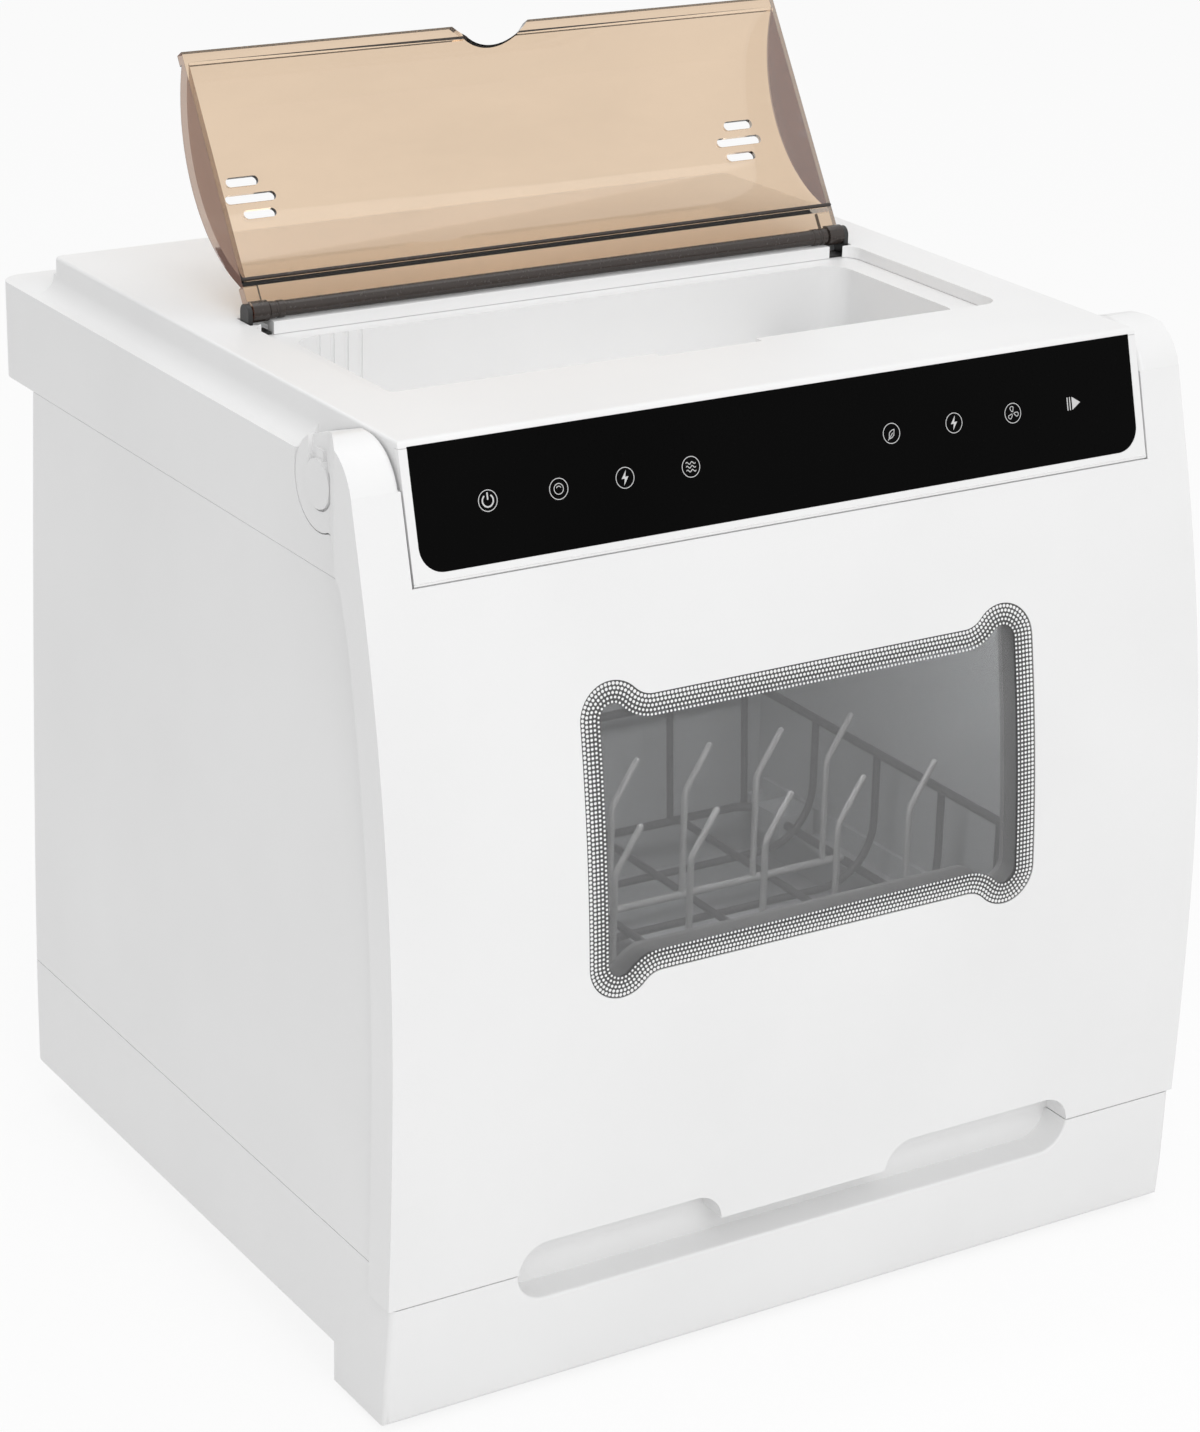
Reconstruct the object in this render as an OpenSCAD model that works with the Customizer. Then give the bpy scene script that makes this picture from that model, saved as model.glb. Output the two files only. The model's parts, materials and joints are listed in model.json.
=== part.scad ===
// Countertop dishwasher with a flip-up door, a fill lid on the deck and a wire rack.
// X runs across the machine, Y runs from the door to the back, Z is up. The counter is z = 0.
// Inside the modules, y is measured back from the plinth's lower front edge; place() then
// moves everything so that the origin is the middle of the footprint.

/* [Body] */
// Width over the door and the plinth
body_w = 420; // [400:1:440]
// Half width lost by each side wall between its foot and the seam
side_draft = 12.4; // [6:0.2:16]
// Depth from the plinth's front edge to the rear panel
case_d = 365; // [355:1:385]
// Height of the deck above the counter
deck_h = 424.5; // [400:0.5:440]
// Gap between the counter and the plinth
plinth_gap = 3; // [2:0.5:5]
// Height of the casing's underside above the counter
under_h = 22; // [18:1:26]
// Height of the plinth's top edge, where the door begins
plinth_top = 60; // [58:1:62]
// Depth of the plinth, front to back
plinth_d = 45; // [40:1:50]
// Height of the base tray's walls
tray_top = 74; // [70:1:80]
// Height of the top housing, from its seam to the deck
housing_h = 63.5; // [60:0.5:70]
// Drop from the deck to the ledge that runs round it
ledge_drop = 17.5; // [12:0.5:20]
// How far the top housing overhangs the rear panel
overhang = 38; // [25:1:45]
// How far the overhang hangs below the seam
overhang_drop = 8; // [4:1:12]
// Width of the ledge beside the deck
ledge_w = 12.2; // [11:0.2:16]
// Wall of the plastic shells
wall = 2.8; // [2:0.2:3.4]
// Plan radius of the outer rear corners
corner_r = 12; // [6:1:16]

/* [Front] */
// How far the door bulges ahead of the plinth's lower edge
bulge = 6; // [3:0.5:9]
// Height of the most forward line of the door
bulge_h = 158; // [140:1:175]
// Height of the sloped control panel, from the deck down to the door's top
slope_h = 55.9; // [50:0.1:62]
// Lean of the control panel from the vertical, in degrees
lean = 14.7; // [13:0.1:15.5]

/* [Door] */
// Depth of the door shell, front to back
door_d = 18; // [16:0.5:19]
// Distance of the pivot behind the plinth's lower edge
pivot_y = 79; // [77:0.5:81]
// Drop from the deck to the pivot
pivot_drop = 27.5; // [26:0.5:29]
// Radius of the round end of each door arm
arm_r = 20.2; // [18:0.2:22]
// Radius of the pivot pins
pin_r = 5; // [4:0.5:7]
// Top corner radius of the arms
ear_r = 14; // [10:1:18]
// Radius of the pivot caps
cap_r = 10.5; // [9:0.5:12]
// Gap between the door and the fixed shell
door_gap = 0.6; // [0.4:0.1:1]
// Radial gap of the pivot pins and of every other running shaft
run_gap = 0.05; // [0.02:0.01:0.09]

/* [Window] */
// Distance from the chamber's side wall to the window's edge
win_inset = 44; // [38:1:55]
// Height of the window's lower edge
win_z0 = 189.5; // [183:0.5:195]
// Drop from the chamber's ceiling to the window's upper edge
win_drop = 34.5; // [32:0.5:44]
// Radius of the round corner lobes
lobe_r = 16; // [13:0.5:18]
// How far the lobes stand beyond the straight edges
lobe_out = 8.5; // [5:0.5:10]
// Radius of the hollow between a lobe and a straight edge
lobe_fillet = 12; // [11:0.5:20]
// Width of the printed border
border_w = 9.5; // [6:0.5:12]
// Thickness of the window pane
pane_t = 3; // [2:0.2:4]

/* [Grip] */
// Half length of the grip recess
grip_half = 147; // [120:1:155]
// Half length of the plain part of the door's edge between the finger pockets
grip_mid = 44; // [30:1:60]
// Radius of the grip recess
grip_r = 14; // [11:0.5:16]
// Depth of the grip recess
grip_d = 13; // [10:0.5:14]

/* [Lid and hopper] */
// Width of the deck beside the fill opening
fill_inset = 26.4; // [24:0.2:36]
// Front edge of the fill opening
fill_y0 = 98; // [94:1:104]
// Rear edge of the fill opening
fill_y1 = 216; // [210:1:217]
// Distance of the lid's hinge behind the plinth's lower edge
lid_y = 221.5; // [221:0.5:226]
// Height of the lid's hinge above the deck
lid_up = 4; // [3.5:0.5:6]
// Length of the lid from its hinge to its free edge
lid_len = 120.5; // [112:0.5:124]
// Side gap between the lid and the edge of the fill opening
lid_gap = 2.6; // [1:0.2:8]
// Rise of the lid's curved shell above its rim
lid_rise = 24.5; // [16:0.5:30]
// Wall of the lid
lid_wall = 2.2; // [1.8:0.1:2.8]
// How far the open lid leans back past the vertical, in degrees
lid_back = 32; // [20:1:38]
// Depth of the fill hopper below the deck
hopper_d = 44; // [36:1:48]

/* [Wash chamber] */
// Room between the chamber's side wall and the casing
side_room = 37.6; // [30:0.2:46]
// Height of the chamber's floor
tub_z0 = 90; // [86:1:96]
// Room between the chamber's ceiling and the deck
top_room = 80.5; // [78:0.5:88]
// Room between the chamber and the rear panel's outer face
works_d = 89; // [80:1:96]
// Wall of the chamber
tub_wall = 2; // [1.5:0.1:2.5]

/* [Rack] */
// Gap between the rack and the chamber's side wall
rack_gap = 18; // [13:1:28]
// Front of the rack
rack_y0 = 46; // [44:1:52]
// Gap between the rack and the chamber's rear wall
rack_back = 22; // [16:1:34]
// Height of the rack's base wires
rack_z = 128; // [124:1:134]
// Radius of the rack's frame wires
wire_r = 2.2; // [1.8:0.1:2.6]
// Radius of the rack's tines
tine_r = 1.6; // [1.3:0.1:2]
// Height of the tines above the base wires
tine_h = 78; // [60:1:90]
// Height of the rack's upper rail above its base wires
rail_up = 62; // [50:1:75]

/* [Spray arms] */
// Gap between the lower spray arm's tips and the chamber's walls
arm_gap = 4; // [3:0.5:12]
// Height of the lower spray arm above the chamber floor
arm_up = 15; // [12:1:18]
// Length of the upper spray arm
top_arm_len = 200; // [160:1:230]

/* [Works] */
// Radius of the sump well
sump_r = 46; // [40:1:50]
// Depth of the sump below the chamber floor
sump_d = 32; // [28:1:36]
// Radius of the filter cup
cup_r = 30; // [24:1:34]
// Radius of the wash pump's housing
pump_r = 27; // [22:1:29]
// Radius of the drain pump's housing
drain_r = 19; // [15:1:21]
// Outer radius of the hoses
hose_r = 8; // [6:0.5:9]
// Radius of the fan housing
fan_r = 34; // [26:1:38]
// Depth of the water tank, front to back
tank_d = 60; // [44:1:62]
// Radius of the rubber feet
foot_r = 13; // [10:1:16]
// Radius of the screws' heads
screw_r = 3.6; // [3:0.1:4.2]

/* [Hidden] */
$fn = 48;

// Small value that lets a cut run past a face
eps = 0.5;
// Gap between parts that sit against each other without a fit
seat = 0.2;
mid_y = (case_d + overhang - bulge) / 2;
back_y = case_d + overhang;
seam_half = body_w / 2 - side_draft;
deck_half = seam_half - ledge_w;
fill_half = deck_half - fill_inset;
lid_half = fill_half - lid_gap;
tub_half = seam_half - side_room;
win_half = tub_half - win_inset;
rack_half = tub_half - rack_gap;
seam_h = deck_h - housing_h;
ledge_h = deck_h - ledge_drop;
pivot_z = deck_h - pivot_drop;
tub_z1 = deck_h - top_room;
tub_y1 = case_d - works_d;
rack_y1 = tub_y1 - rack_back;
win_z1 = tub_z1 - win_drop;
lean_z = deck_h - slope_h;
upper_r = (lean_z - bulge_h) / sin(lean);
lower_r = (pow(bulge_h - plinth_gap, 2) + bulge * bulge) / (2 * bulge);
lean_y = -bulge + upper_r * (1 - cos(lean));
curve_step = 12;

// Distance of the front surface behind the plinth's lower edge, at a height
function front_y(z) =
    z < bulge_h ? -bulge + lower_r - sqrt(lower_r * lower_r - pow(z - bulge_h, 2)) :
    z < lean_z ? -bulge + upper_r - sqrt(upper_r * upper_r - pow(z - bulge_h, 2)) :
    lean_y + (z - lean_z) * tan(lean);

// Points of the front surface moved back by a depth, from one height to another
function front_pts(depth, z0, z1) =
    let (n = max(1, ceil(abs(z1 - z0) / curve_step)))
    [for (i = [0:n]) let (z = z0 + (z1 - z0) * i / n) [front_y(z) + depth, z]];

// Half width of the side walls at a height
function side_half(z) = z >= seam_h ? seam_half :
    body_w / 2 - side_draft * (z - under_h) / (seam_h - under_h);

// Distance of the inner panel's seat behind the pivot's circle
door_clear_r = norm([lean_y - pivot_y, lean_z - pivot_z]) + 0.4;
fascia_r = door_clear_r - 0.8;
ear_half = deck_half + 1;
door_top_half = body_w / 2 - 1.6;

module place() {
    translate([0, -mid_y, 0]) children();
}

// Draws an outline of y and z along X
module along_x(x0, x1) {
    translate([x0, 0, 0]) rotate([90, 0, 90]) linear_extrude(x1 - x0) children();
}

// Draws an outline of x and z along Y
module along_y(y0, y1) {
    translate([0, y1, 0]) rotate([90, 0, 0]) linear_extrude(y1 - y0) children();
}

module block(lo, hi) {
    translate(lo) cube(hi - lo);
}

module both_sides() {
    children();
    mirror([1, 0, 0]) children();
}

module rod_x(r, x0, x1, y, z) {
    translate([x0, y, z]) rotate([0, 90, 0]) cylinder(r = r, h = x1 - x0);
}

module rod_y(r, y0, y1, x, z) {
    translate([x, y1, z]) rotate([90, 0, 0]) cylinder(r = r, h = y1 - y0);
}

module rod_z(r, z0, z1, x, y) {
    translate([x, y, z0]) cylinder(r = r, h = z1 - z0);
}

// Straight wire between two points, with round ends
module wire(r, a, b) {
    d = b - a;
    translate(a) rotate([0, acos(d[2] / norm(d)), atan2(d[1], d[0])]) cylinder(r = r, h = norm(d), $fn = 20);
    translate(b) sphere(r = r, $fn = 20);
}

// Rectangle with round corners
module round_rect(x0, y0, x1, y1, r) {
    translate([x0 + r, y0]) square([x1 - x0 - 2 * r, y1 - y0]);
    translate([x0, y0 + r]) square([x1 - x0, y1 - y0 - 2 * r]);
    for (x = [x0 + r, x1 - r], y = [y0 + r, y1 - r]) translate([x, y]) circle(r);
}

// Outline of y and z between two depths behind the front surface
module front_band(d0, d1, z0, z1) {
    polygon(concat(front_pts(d0, z0, z1), front_pts(d1, z1, z0)));
}

// Outline of y and z between a depth behind the front surface and a flat rear face
module behind_front(depth, z0, z1, y_rear) {
    polygon(concat(front_pts(depth, z0, z1), [[y_rear, z1], [y_rear, z0]]));
}

// Outline of x and z inside the side walls, kept back from them by a distance
module side_outline(z0, z1, inset) {
    a = side_half(z0) - inset;
    b = side_half(min(z1, seam_h)) - inset;
    polygon([[-a, z0], [a, z0], [b, min(z1, seam_h)], [b, z1], [-b, z1], [-b, min(z1, seam_h)]]);
}

// Block inside the side walls
module side_block(z0, z1, y0, y1, inset) {
    along_y(y0, y1) side_outline(z0, z1, inset);
}

// Outline of x and y of the casing behind the door, with round rear corners
module plan_outline(half, y0, y1, r) {
    translate([-half, y0]) square([2 * half, y1 - y0 - r]);
    translate([-half + r, y0]) square([2 * (half - r), y1 - y0]);
    for (s = [-1, 1]) translate([s * (half - r), y1 - r]) circle(r);
}

// Window outline: straight edges with a round lobe at each corner. grow moves it outwards.
module window_outline(grow) {
    lobe_x = win_half - lobe_r;
    lobe_dz = lobe_r - lobe_out;
    fillet_dz = lobe_dz + lobe_fillet;
    fillet_dx = sqrt(pow(lobe_r + lobe_fillet, 2) - fillet_dz * fillet_dz);
    mid_z = (win_z0 + win_z1) / 2;
    half_z = (win_z1 - win_z0) / 2;
    translate([0, mid_z]) {
        square([2 * (win_half + grow), 2 * (half_z - lobe_dz)], center = true);
        square([2 * lobe_x, 2 * (half_z + grow)], center = true);
        for (sx = [0, 1], sz = [0, 1]) mirror([sx, 0]) mirror([0, sz]) translate([lobe_x, half_z - lobe_dz]) {
            circle(lobe_r + grow);
            difference() {
                polygon([
                    [-fillet_dx, 0],
                    [0, 0],
                    [-fillet_dx * (lobe_r + grow) / (lobe_r + lobe_fillet),
                     fillet_dz * (lobe_r + grow) / (lobe_r + lobe_fillet)],
                    [-fillet_dx, lobe_dz + grow + 0.01]
                ]);
                translate([-fillet_dx, fillet_dz]) circle(lobe_fillet - grow);
            }
        }
    }
}

// Side outline of a door arm: its round end at the pivot, its top corner and its run into the door
module arm_outline(grow) {
    top = deck_h + grow;
    corner_z = top - ear_r;
    corner_y = front_y(corner_z) - grow + ear_r * (1 / cos(lean) - tan(lean)) + 1;
    translate([pivot_y, pivot_z]) circle(arm_r + grow);
    translate([corner_y, corner_z]) circle(ear_r);
    polygon(concat(
        front_pts(-grow, seam_h - 16, corner_z - ear_r * sin(lean)),
        [
            [corner_y - ear_r * cos(lean), corner_z + ear_r * sin(lean)],
            [corner_y, corner_z],
            [corner_y, top],
            [pivot_y - arm_r, top],
            [pivot_y + (arm_r + grow) * sin(22), pivot_z + (arm_r + grow) * cos(22)],
            [pivot_y, pivot_z],
            [pivot_y - (arm_r + grow) * sin(24), pivot_z - (arm_r + grow) * cos(24)],
            [pivot_y - 29 + grow, pivot_z - arm_r - 0.8 - grow],
            [front_y(seam_h + 3) + door_d + 2 + grow, seam_h + 4],
            [front_y(seam_h - 16) + door_d + grow, seam_h - 16]
        ]
    ));
}

// ---------------------------------------------------------------- fixed shells

// Recess that the fingers reach into: a round-ended slot, cut straight back
module grip_slot(grow, d0, d1) {
    along_y(d0, d1) {
        r = grip_r + grow;
        flat = grip_half - grip_r;
        translate([-flat, plinth_top - r]) square([2 * flat, 2 * r]);
        for (s = [-1, 1]) translate([s * flat, plinth_top]) circle(r);
    }
}

module base_tray() color("white") place() {
    post_r = 6;
    difference() {
        union() {
            // plinth
            difference() {
                intersection() {
                    along_x(-body_w / 2, body_w / 2) behind_front(0, plinth_gap, plinth_top, plinth_d);
                    side_block(plinth_gap, plinth_top, -bulge - eps, plinth_d + eps, 0);
                }
                intersection() {
                    along_x(-body_w / 2, body_w / 2)
                        behind_front(wall, plinth_gap - eps, plinth_top - wall, plinth_d - wall);
                    side_block(plinth_gap - eps, plinth_top - wall, -bulge, plinth_d, wall);
                }
                grip_slot(0, -bulge - eps, grip_d);
            }
            // back wall and floor of the grip recess
            intersection() {
                grip_slot(wall, -bulge, grip_d + wall);
                along_x(-body_w / 2, body_w / 2)
                    behind_front(wall, plinth_gap, plinth_top, grip_d + wall);
                difference() {
                    block([-body_w / 2, -bulge, plinth_gap], [body_w / 2, plinth_d, plinth_top]);
                    grip_slot(0, -bulge - eps, grip_d);
                }
            }
            // tray floor and walls
            difference() {
                intersection() {
                    side_block(under_h, tray_top, -bulge, case_d, 0);
                    linear_extrude(tray_top) plan_outline(body_w / 2, -bulge, case_d, corner_r);
                    along_x(-body_w, body_w) union() {
                        translate([plinth_d - wall, under_h]) square([case_d, tray_top]);
                        behind_front(door_d + door_gap, plinth_top - wall / 2, tray_top, case_d);
                    }
                }
                intersection() {
                    side_block(under_h + wall, tray_top + eps, -2 * bulge, case_d - wall, wall);
                    linear_extrude(tray_top + eps)
                        plan_outline(body_w / 2 - wall, -2 * bulge, case_d - wall, corner_r - wall);
                }
            }
            for (x = [-1, 1], y = [1, -1])
                foot_at(x, y) rod_z(post_r, under_h + wall - eps, under_h + 14, 0, 0);
        }
        for (x = [-1, 1], y = [1, -1]) foot_at(x, y) rod_z(2, under_h - eps, under_h + 12, 0, 0);
        // vent slots under the works
        for (i = [-4:4]) translate([vent_x + i * 12, vent_y, 0])
            block([-2.5, 0, under_h - eps], [2.5, vent_l, under_h + wall + eps]);
    }
}

vent_x = 75;
vent_y = tub_y1 - 4;
vent_l = 50;
foot_x = body_w / 2 - 46;
foot_y0 = 78;
foot_y1 = case_d - 34;

module foot_at(sx, sy) {
    translate([sx * foot_x, sy > 0 ? foot_y0 : foot_y1, 0]) children();
}

module rubber_feet() color("dimgray") place()
    for (x = [-1, 1], y = [1, -1]) foot_at(x, y) difference() {
        union() {
            cylinder(r1 = foot_r - 1.5, r2 = foot_r, h = under_h - 4);
            translate([0, 0, under_h - 4]) cylinder(r = foot_r + 2, h = 4);
        }
        translate([0, 0, -eps]) cylinder(r = screw_r + 1.4, h = 10 + eps);
        cylinder(r = 2 + seat, h = under_h + eps);
    }

module foot_screws() color("silver") place()
    for (x = [-1, 1], y = [1, -1]) foot_at(x, y) screw(10 - 2.4, under_h + 11);

// Pan-head screw that stands on its head, from the underside of the head to the tip
module screw(z_head, z_tip) {
    difference() {
        translate([0, 0, z_head]) cylinder(r = screw_r, h = 2.4);
        for (a = [0, 90]) translate([0, 0, z_head]) rotate(a)
            cube([3.6, 0.8, 2.2], center = true);
    }
    translate([0, 0, z_head + 2.4]) cylinder(r = 1.9, h = z_tip - z_head - 2.4);
}

module lower_casing() color("white") place() difference() {
    z0 = tray_top + seat;
    z1 = seam_h - seat;
    intersection() {
        side_block(z0, z1, -bulge, case_d, 0);
        along_x(-body_w / 2, body_w / 2) behind_front(door_d + door_gap, z0, z1, case_d);
        linear_extrude(z1) plan_outline(body_w / 2, -bulge, case_d, corner_r);
    }
    intersection() {
        side_block(z0 - eps, z1 + eps, -2 * bulge, case_d - wall, wall);
        linear_extrude(z1 + eps) plan_outline(body_w / 2 - wall, -2 * bulge, case_d - wall, corner_r - wall);
    }
    // the rear is closed by its own panel
    block([-rear_half, case_d - wall - eps, z0 - eps], [rear_half, case_d + eps, z1 + eps]);
    both_sides() along_x(deck_half - 6, body_w) arm_outline(door_gap);
    for (p = panel_screws) rod_y(screw_hole_r, case_d - wall - eps, case_d + eps, p[0], p[1]);
}

rear_half = seam_half - 22;
screw_hole_r = 2.1;

module rear_panel() color("white") place() difference() {
    z0 = tray_top + seat;
    z1 = seam_h - seat;
    union() {
        block([-rear_half + seat, case_d - wall, z0], [rear_half - seat, case_d, z1]);
        // inner flange that the casing's screws hold
        both_sides() translate([rear_half - 2, 0, 0])
            block([-10, case_d - 2 * wall - seat, z0 + 4], [11, case_d - wall - seat, z1 - 4]);
        both_sides() translate([rear_half - 10, 0, 0])
            block([-2, case_d - wall - seat - eps, z0 + 4], [2, case_d - wall + eps, z1 - 4]);
    }
    // vents of the drying fan
    for (i = [0:7]) along_y(case_d - wall - eps, case_d + eps)
        round_rect(fan_x - 30, fan_z - 29.5 + i * 8, fan_x + 30, fan_z - 26.5 + i * 8, 1.4);
    // fittings
    rod_y(drain_port_r + 0.1, case_d - wall - eps, case_d + eps, drain_port_x, drain_port_z);
    rod_y(inlet_port_r + 0.1, case_d - wall - eps, case_d + eps, inlet_port_x, inlet_port_z);
    rod_y(power_port_r + 0.1, case_d - wall - eps, case_d + eps, power_port_x, power_port_z);
    for (p = panel_screws) rod_y(screw_hole_r, case_d - 2 * wall - 1, case_d + eps, p[0], p[1]);
}

// Screws of the rear panel, in the casing's edge beside it
panel_screws = [
    for (s = [-1, 1], z = [tray_top + 26, (tray_top + seam_h) / 2, seam_h - 26]) [s * (rear_half + 4.6), z]
];
fan_x = -96;
fan_z = 292;
drain_port_x = 128;
drain_port_z = 108;
drain_port_r = 11;
inlet_port_x = 88;
inlet_port_z = 108;
inlet_port_r = 11;
power_port_x = -136;
power_port_z = 108;
power_port_r = 9;

module casing_screws() color("silver") place() {
    for (p = panel_screws) translate([p[0], case_d, p[1]]) rotate([90, 0, 0])
        translate([0, 0, -2.4]) screw(0, 2.4 + 2 * wall + 1);
}

// Deck outline of y and z: ledge, step and sloped front
module deck_outline(inset) {
    polygon([
        [front_y(deck_h - inset) + inset / cos(lean), deck_h - inset],
        [case_d - inset, deck_h - inset],
        [case_d - inset, ledge_h - 2 * wall],
        [front_y(seam_h) + door_d + 4, seam_h - 2],
        [front_y(seam_h) + door_d + 2, seam_h],
        [front_y(lean_z + 3) + inset, lean_z + 3]
    ]);
}

// Solid of the top housing, shrunk by a distance; open below
module housing_solid(inset, z_low) {
    y0 = front_y(seam_h) + door_d + door_gap;
    intersection() {
        side_block(z_low, ledge_h - inset, y0 - eps, back_y - inset, inset);
        translate([0, 0, z_low]) linear_extrude(ledge_h)
            plan_outline(seam_half - inset, y0 - eps, back_y - inset, corner_r - inset);
        // the front follows the door, the rear hangs over the panel
        along_x(-body_w, body_w) polygon(concat(
            front_pts(door_d + door_gap, z_low, ledge_h),
            [[back_y, ledge_h], [back_y, seam_h - overhang_drop + inset],
             [case_d + seat + inset, seam_h - overhang_drop + inset], [case_d + seat + inset, z_low]]
        ));
    }
    intersection() {
        along_x(-deck_half + inset, deck_half - inset) deck_outline(inset);
        linear_extrude(deck_h + 1) plan_outline(deck_half - inset, 0, case_d - inset, 4);
    }
}

// Fillet at the foot of the step, along both sides and the rear of the deck
module step_fillet() {
    r = 9;
    both_sides() difference() {
        block([deck_half - 1, pivot_y + arm_r + 3, ledge_h - 1], [deck_half + r, case_d, ledge_h + r]);
        rod_y(r, pivot_y, case_d + eps, deck_half + r, ledge_h + r);
    }
    difference() {
        block([-deck_half, case_d - 1, ledge_h - 1], [deck_half, case_d + r, ledge_h + r]);
        rod_x(r, -deck_half - eps, deck_half + eps, case_d + r, ledge_h + r);
    }
}

// Space that each door arm turns in
module arm_pocket() {
    both_sides() {
        along_x(deck_half, body_w) arm_outline(door_gap);
        block([deck_half, -bulge, pivot_z], [body_w, pivot_y + arm_r + door_gap, deck_h + eps]);
    }
}

module top_housing() color("white") place() difference() {
    union() {
        difference() {
            housing_solid(0, seam_h);
            housing_solid(wall, seam_h - 3 * wall);
            block([-body_w, -bulge, seam_h - 3 * wall], [body_w, case_d + seat + wall, seam_h]);
        }
        step_fillet();
        // cheeks beside the arms, and the floor and rear of each pocket
        both_sides() {
            intersection() {
                along_x(deck_half - wall, deck_half) polygon(concat(
                    [for (p = front_pts(2 * wall, seam_h, deck_h - wall)) p],
                    [[pivot_y + arm_r + 2 * wall, deck_h - wall], [pivot_y + arm_r + 2 * wall, seam_h]]
                ));
                rod_x(fascia_r - wall - seat, 0, body_w, pivot_y, pivot_z);
            }
            intersection() {
                along_x(deck_half - 1, seam_half) difference() {
                    union() {
                        arm_outline(door_gap + wall);
                        translate([front_y(seam_h) + door_d, pivot_z]) square([
                            pivot_y + arm_r + door_gap + wall - front_y(seam_h) - door_d,
                            ledge_h - pivot_z
                        ]);
                    }
                    arm_outline(door_gap);
                }
                block([0, front_y(seam_h) + door_d + 1, seam_h], [body_w, case_d, ledge_h]);
            }
            // bearing boss of the pivot pin
            rod_x(pin_r + 4, deck_half - wall - 9, deck_half - 0.5, pivot_y, pivot_z);
        }
        // flange round the fill opening
        block([-fill_half - 6, fill_y0 - 6, deck_h - 2 * wall], [fill_half + 6, fill_y1 + 6, deck_h - 1]);
    }
    // the control fascia closes the front
    along_x(-body_w / 2, body_w / 2) polygon(concat(
        front_pts(-2, seam_h - 1, deck_h - wall),
        [
            [front_y(deck_h - wall) + wall + seat, deck_h - wall],
            [front_y(lean_z + 3) + wall + seat, lean_z + 3],
            [front_y(lean_z + 3) + wall + seat, seam_h - 1]
        ]
    ));
    panel_recess(0);
    arm_pocket();
    both_sides() rod_x(pin_r, deck_half - 20, body_w, pivot_y, pivot_z);
    // fill opening, with a shallow finger notch in its front edge
    linear_extrude(deck_h + 1) round_rect(-fill_half, fill_y0, fill_half, fill_y1, 9);
    block([-26, fill_y0 - 5, deck_h - 1.6], [26, fill_y0 + 10, deck_h + 1]);
    // seats of the lid's pivot lugs
    both_sides() block([lid_half - 9, fill_y1 - 1, deck_h - wall - 3], [lid_half + 3, lid_y + 7, deck_h + 1]);
}

module control_fascia() color("white") place() {
    half = deck_half;
    difference() {
        along_x(-half, half) polygon(concat(
            front_pts(0, lean_z, deck_h - wall - seat),
            [
                [front_y(deck_h - wall - seat) + wall, deck_h - wall - seat],
                [lean_y + wall, lean_z + 1]
            ]
        ));
        panel_recess(0);
        for (x = touch_x) touch_at(x) cylinder(r = 4, h = 4 * wall, center = true);
    }
    // curved apron that the door's top edge swings past
    intersection() {
        difference() {
            rod_x(fascia_r, -half, half, pivot_y, pivot_z);
            rod_x(fascia_r - wall, -half - eps, half + eps, pivot_y, pivot_z);
        }
        along_x(-half, half) polygon([
            [lean_y - 2, lean_z + 1.2],
            [lean_y + 12, lean_z + 1.2],
            [lean_y + 24, frame_top + seat],
            [lean_y - 20, frame_top + seat]
        ]);
    }
    // end ribs that the screws of the top housing hold
    both_sides() along_x(half - wall - 3.4, half - wall - 0.4) polygon(concat(
        front_pts(wall - 1, lean_z + 5, deck_h - wall - seat),
        [[front_y(deck_h) + 12, deck_h - wall - seat], [lean_y + 12, lean_z + 5]]
    ));
}

// Local frame of the sloped panel: x across, y up the slope, z out of it
module on_slope() {
    translate([0, lean_y, lean_z]) rotate([90 - lean, 0, 0]) children();
}

panel_half = 181.5;
panel_y0 = 4;
panel_y1 = (deck_h - lean_z) / cos(lean) - 2.4;
panel_t = 1.6;
panel_corner = 11;
touch_x = [-149, -116, -84.5, -53, 49, 82, 113.5, 146];
touch_y = 27;

module panel_outline(gap) {
    h = panel_half - gap;
    y0 = panel_y0 + gap;
    y1 = panel_y1 - gap;
    r = panel_corner - gap;
    translate([-h + r, y0]) square([2 * (h - r), r + 1]);
    translate([-h, y0 + r]) square([2 * h, y1 - y0 - r]);
    for (s = [-1, 1]) translate([s * (h - r), y0 + r]) circle(r);
}

module panel_recess(gap) {
    on_slope() translate([0, 0, -panel_t]) linear_extrude(panel_t + 1) panel_outline(gap);
}

module touch_at(x) {
    on_slope() translate([x, touch_y, 0]) children();
}

module touch_panel() color("black") place()
    on_slope() translate([0, 0, -panel_t]) linear_extrude(panel_t) panel_outline(0.15);

module control_board() color("darkgreen") place() on_slope() {
    half = deck_half - 17.4;
    translate([0, 0, -wall - 5.6]) difference() {
        linear_extrude(1.6) translate([-half, 10]) square([2 * half, 34]);
        for (x = [-half + 8, 0, half - 8], y = [14, 40]) translate([x, y, -eps]) cylinder(r = 1.6, h = 3);
    }
    // spacers against the fascia
    for (x = [-half + 8, 0, half - 8], y = [14, 40]) translate([x, y, -wall - 4]) difference() {
        cylinder(r = 3.2, h = 4);
        translate([0, 0, -eps]) cylinder(r = 1.2, h = 4 + 2 * eps);
    }
    // touch pads, which reach through the fascia to the back of the panel
    for (x = touch_x) translate([x, touch_y, -wall - 4]) cylinder(r = 3.6, h = 4 + wall - panel_t - 0.1);
    for (x = [-96, 20]) translate([x, 18, -wall - 8.8]) cube([26, 18, 3.2]);
}

module hopper_outline(y_in, x_in, r) {
    round_rect(-fill_half + x_in, fill_y0 + y_in, fill_half - x_in, fill_y1 - y_in, r);
}

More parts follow.
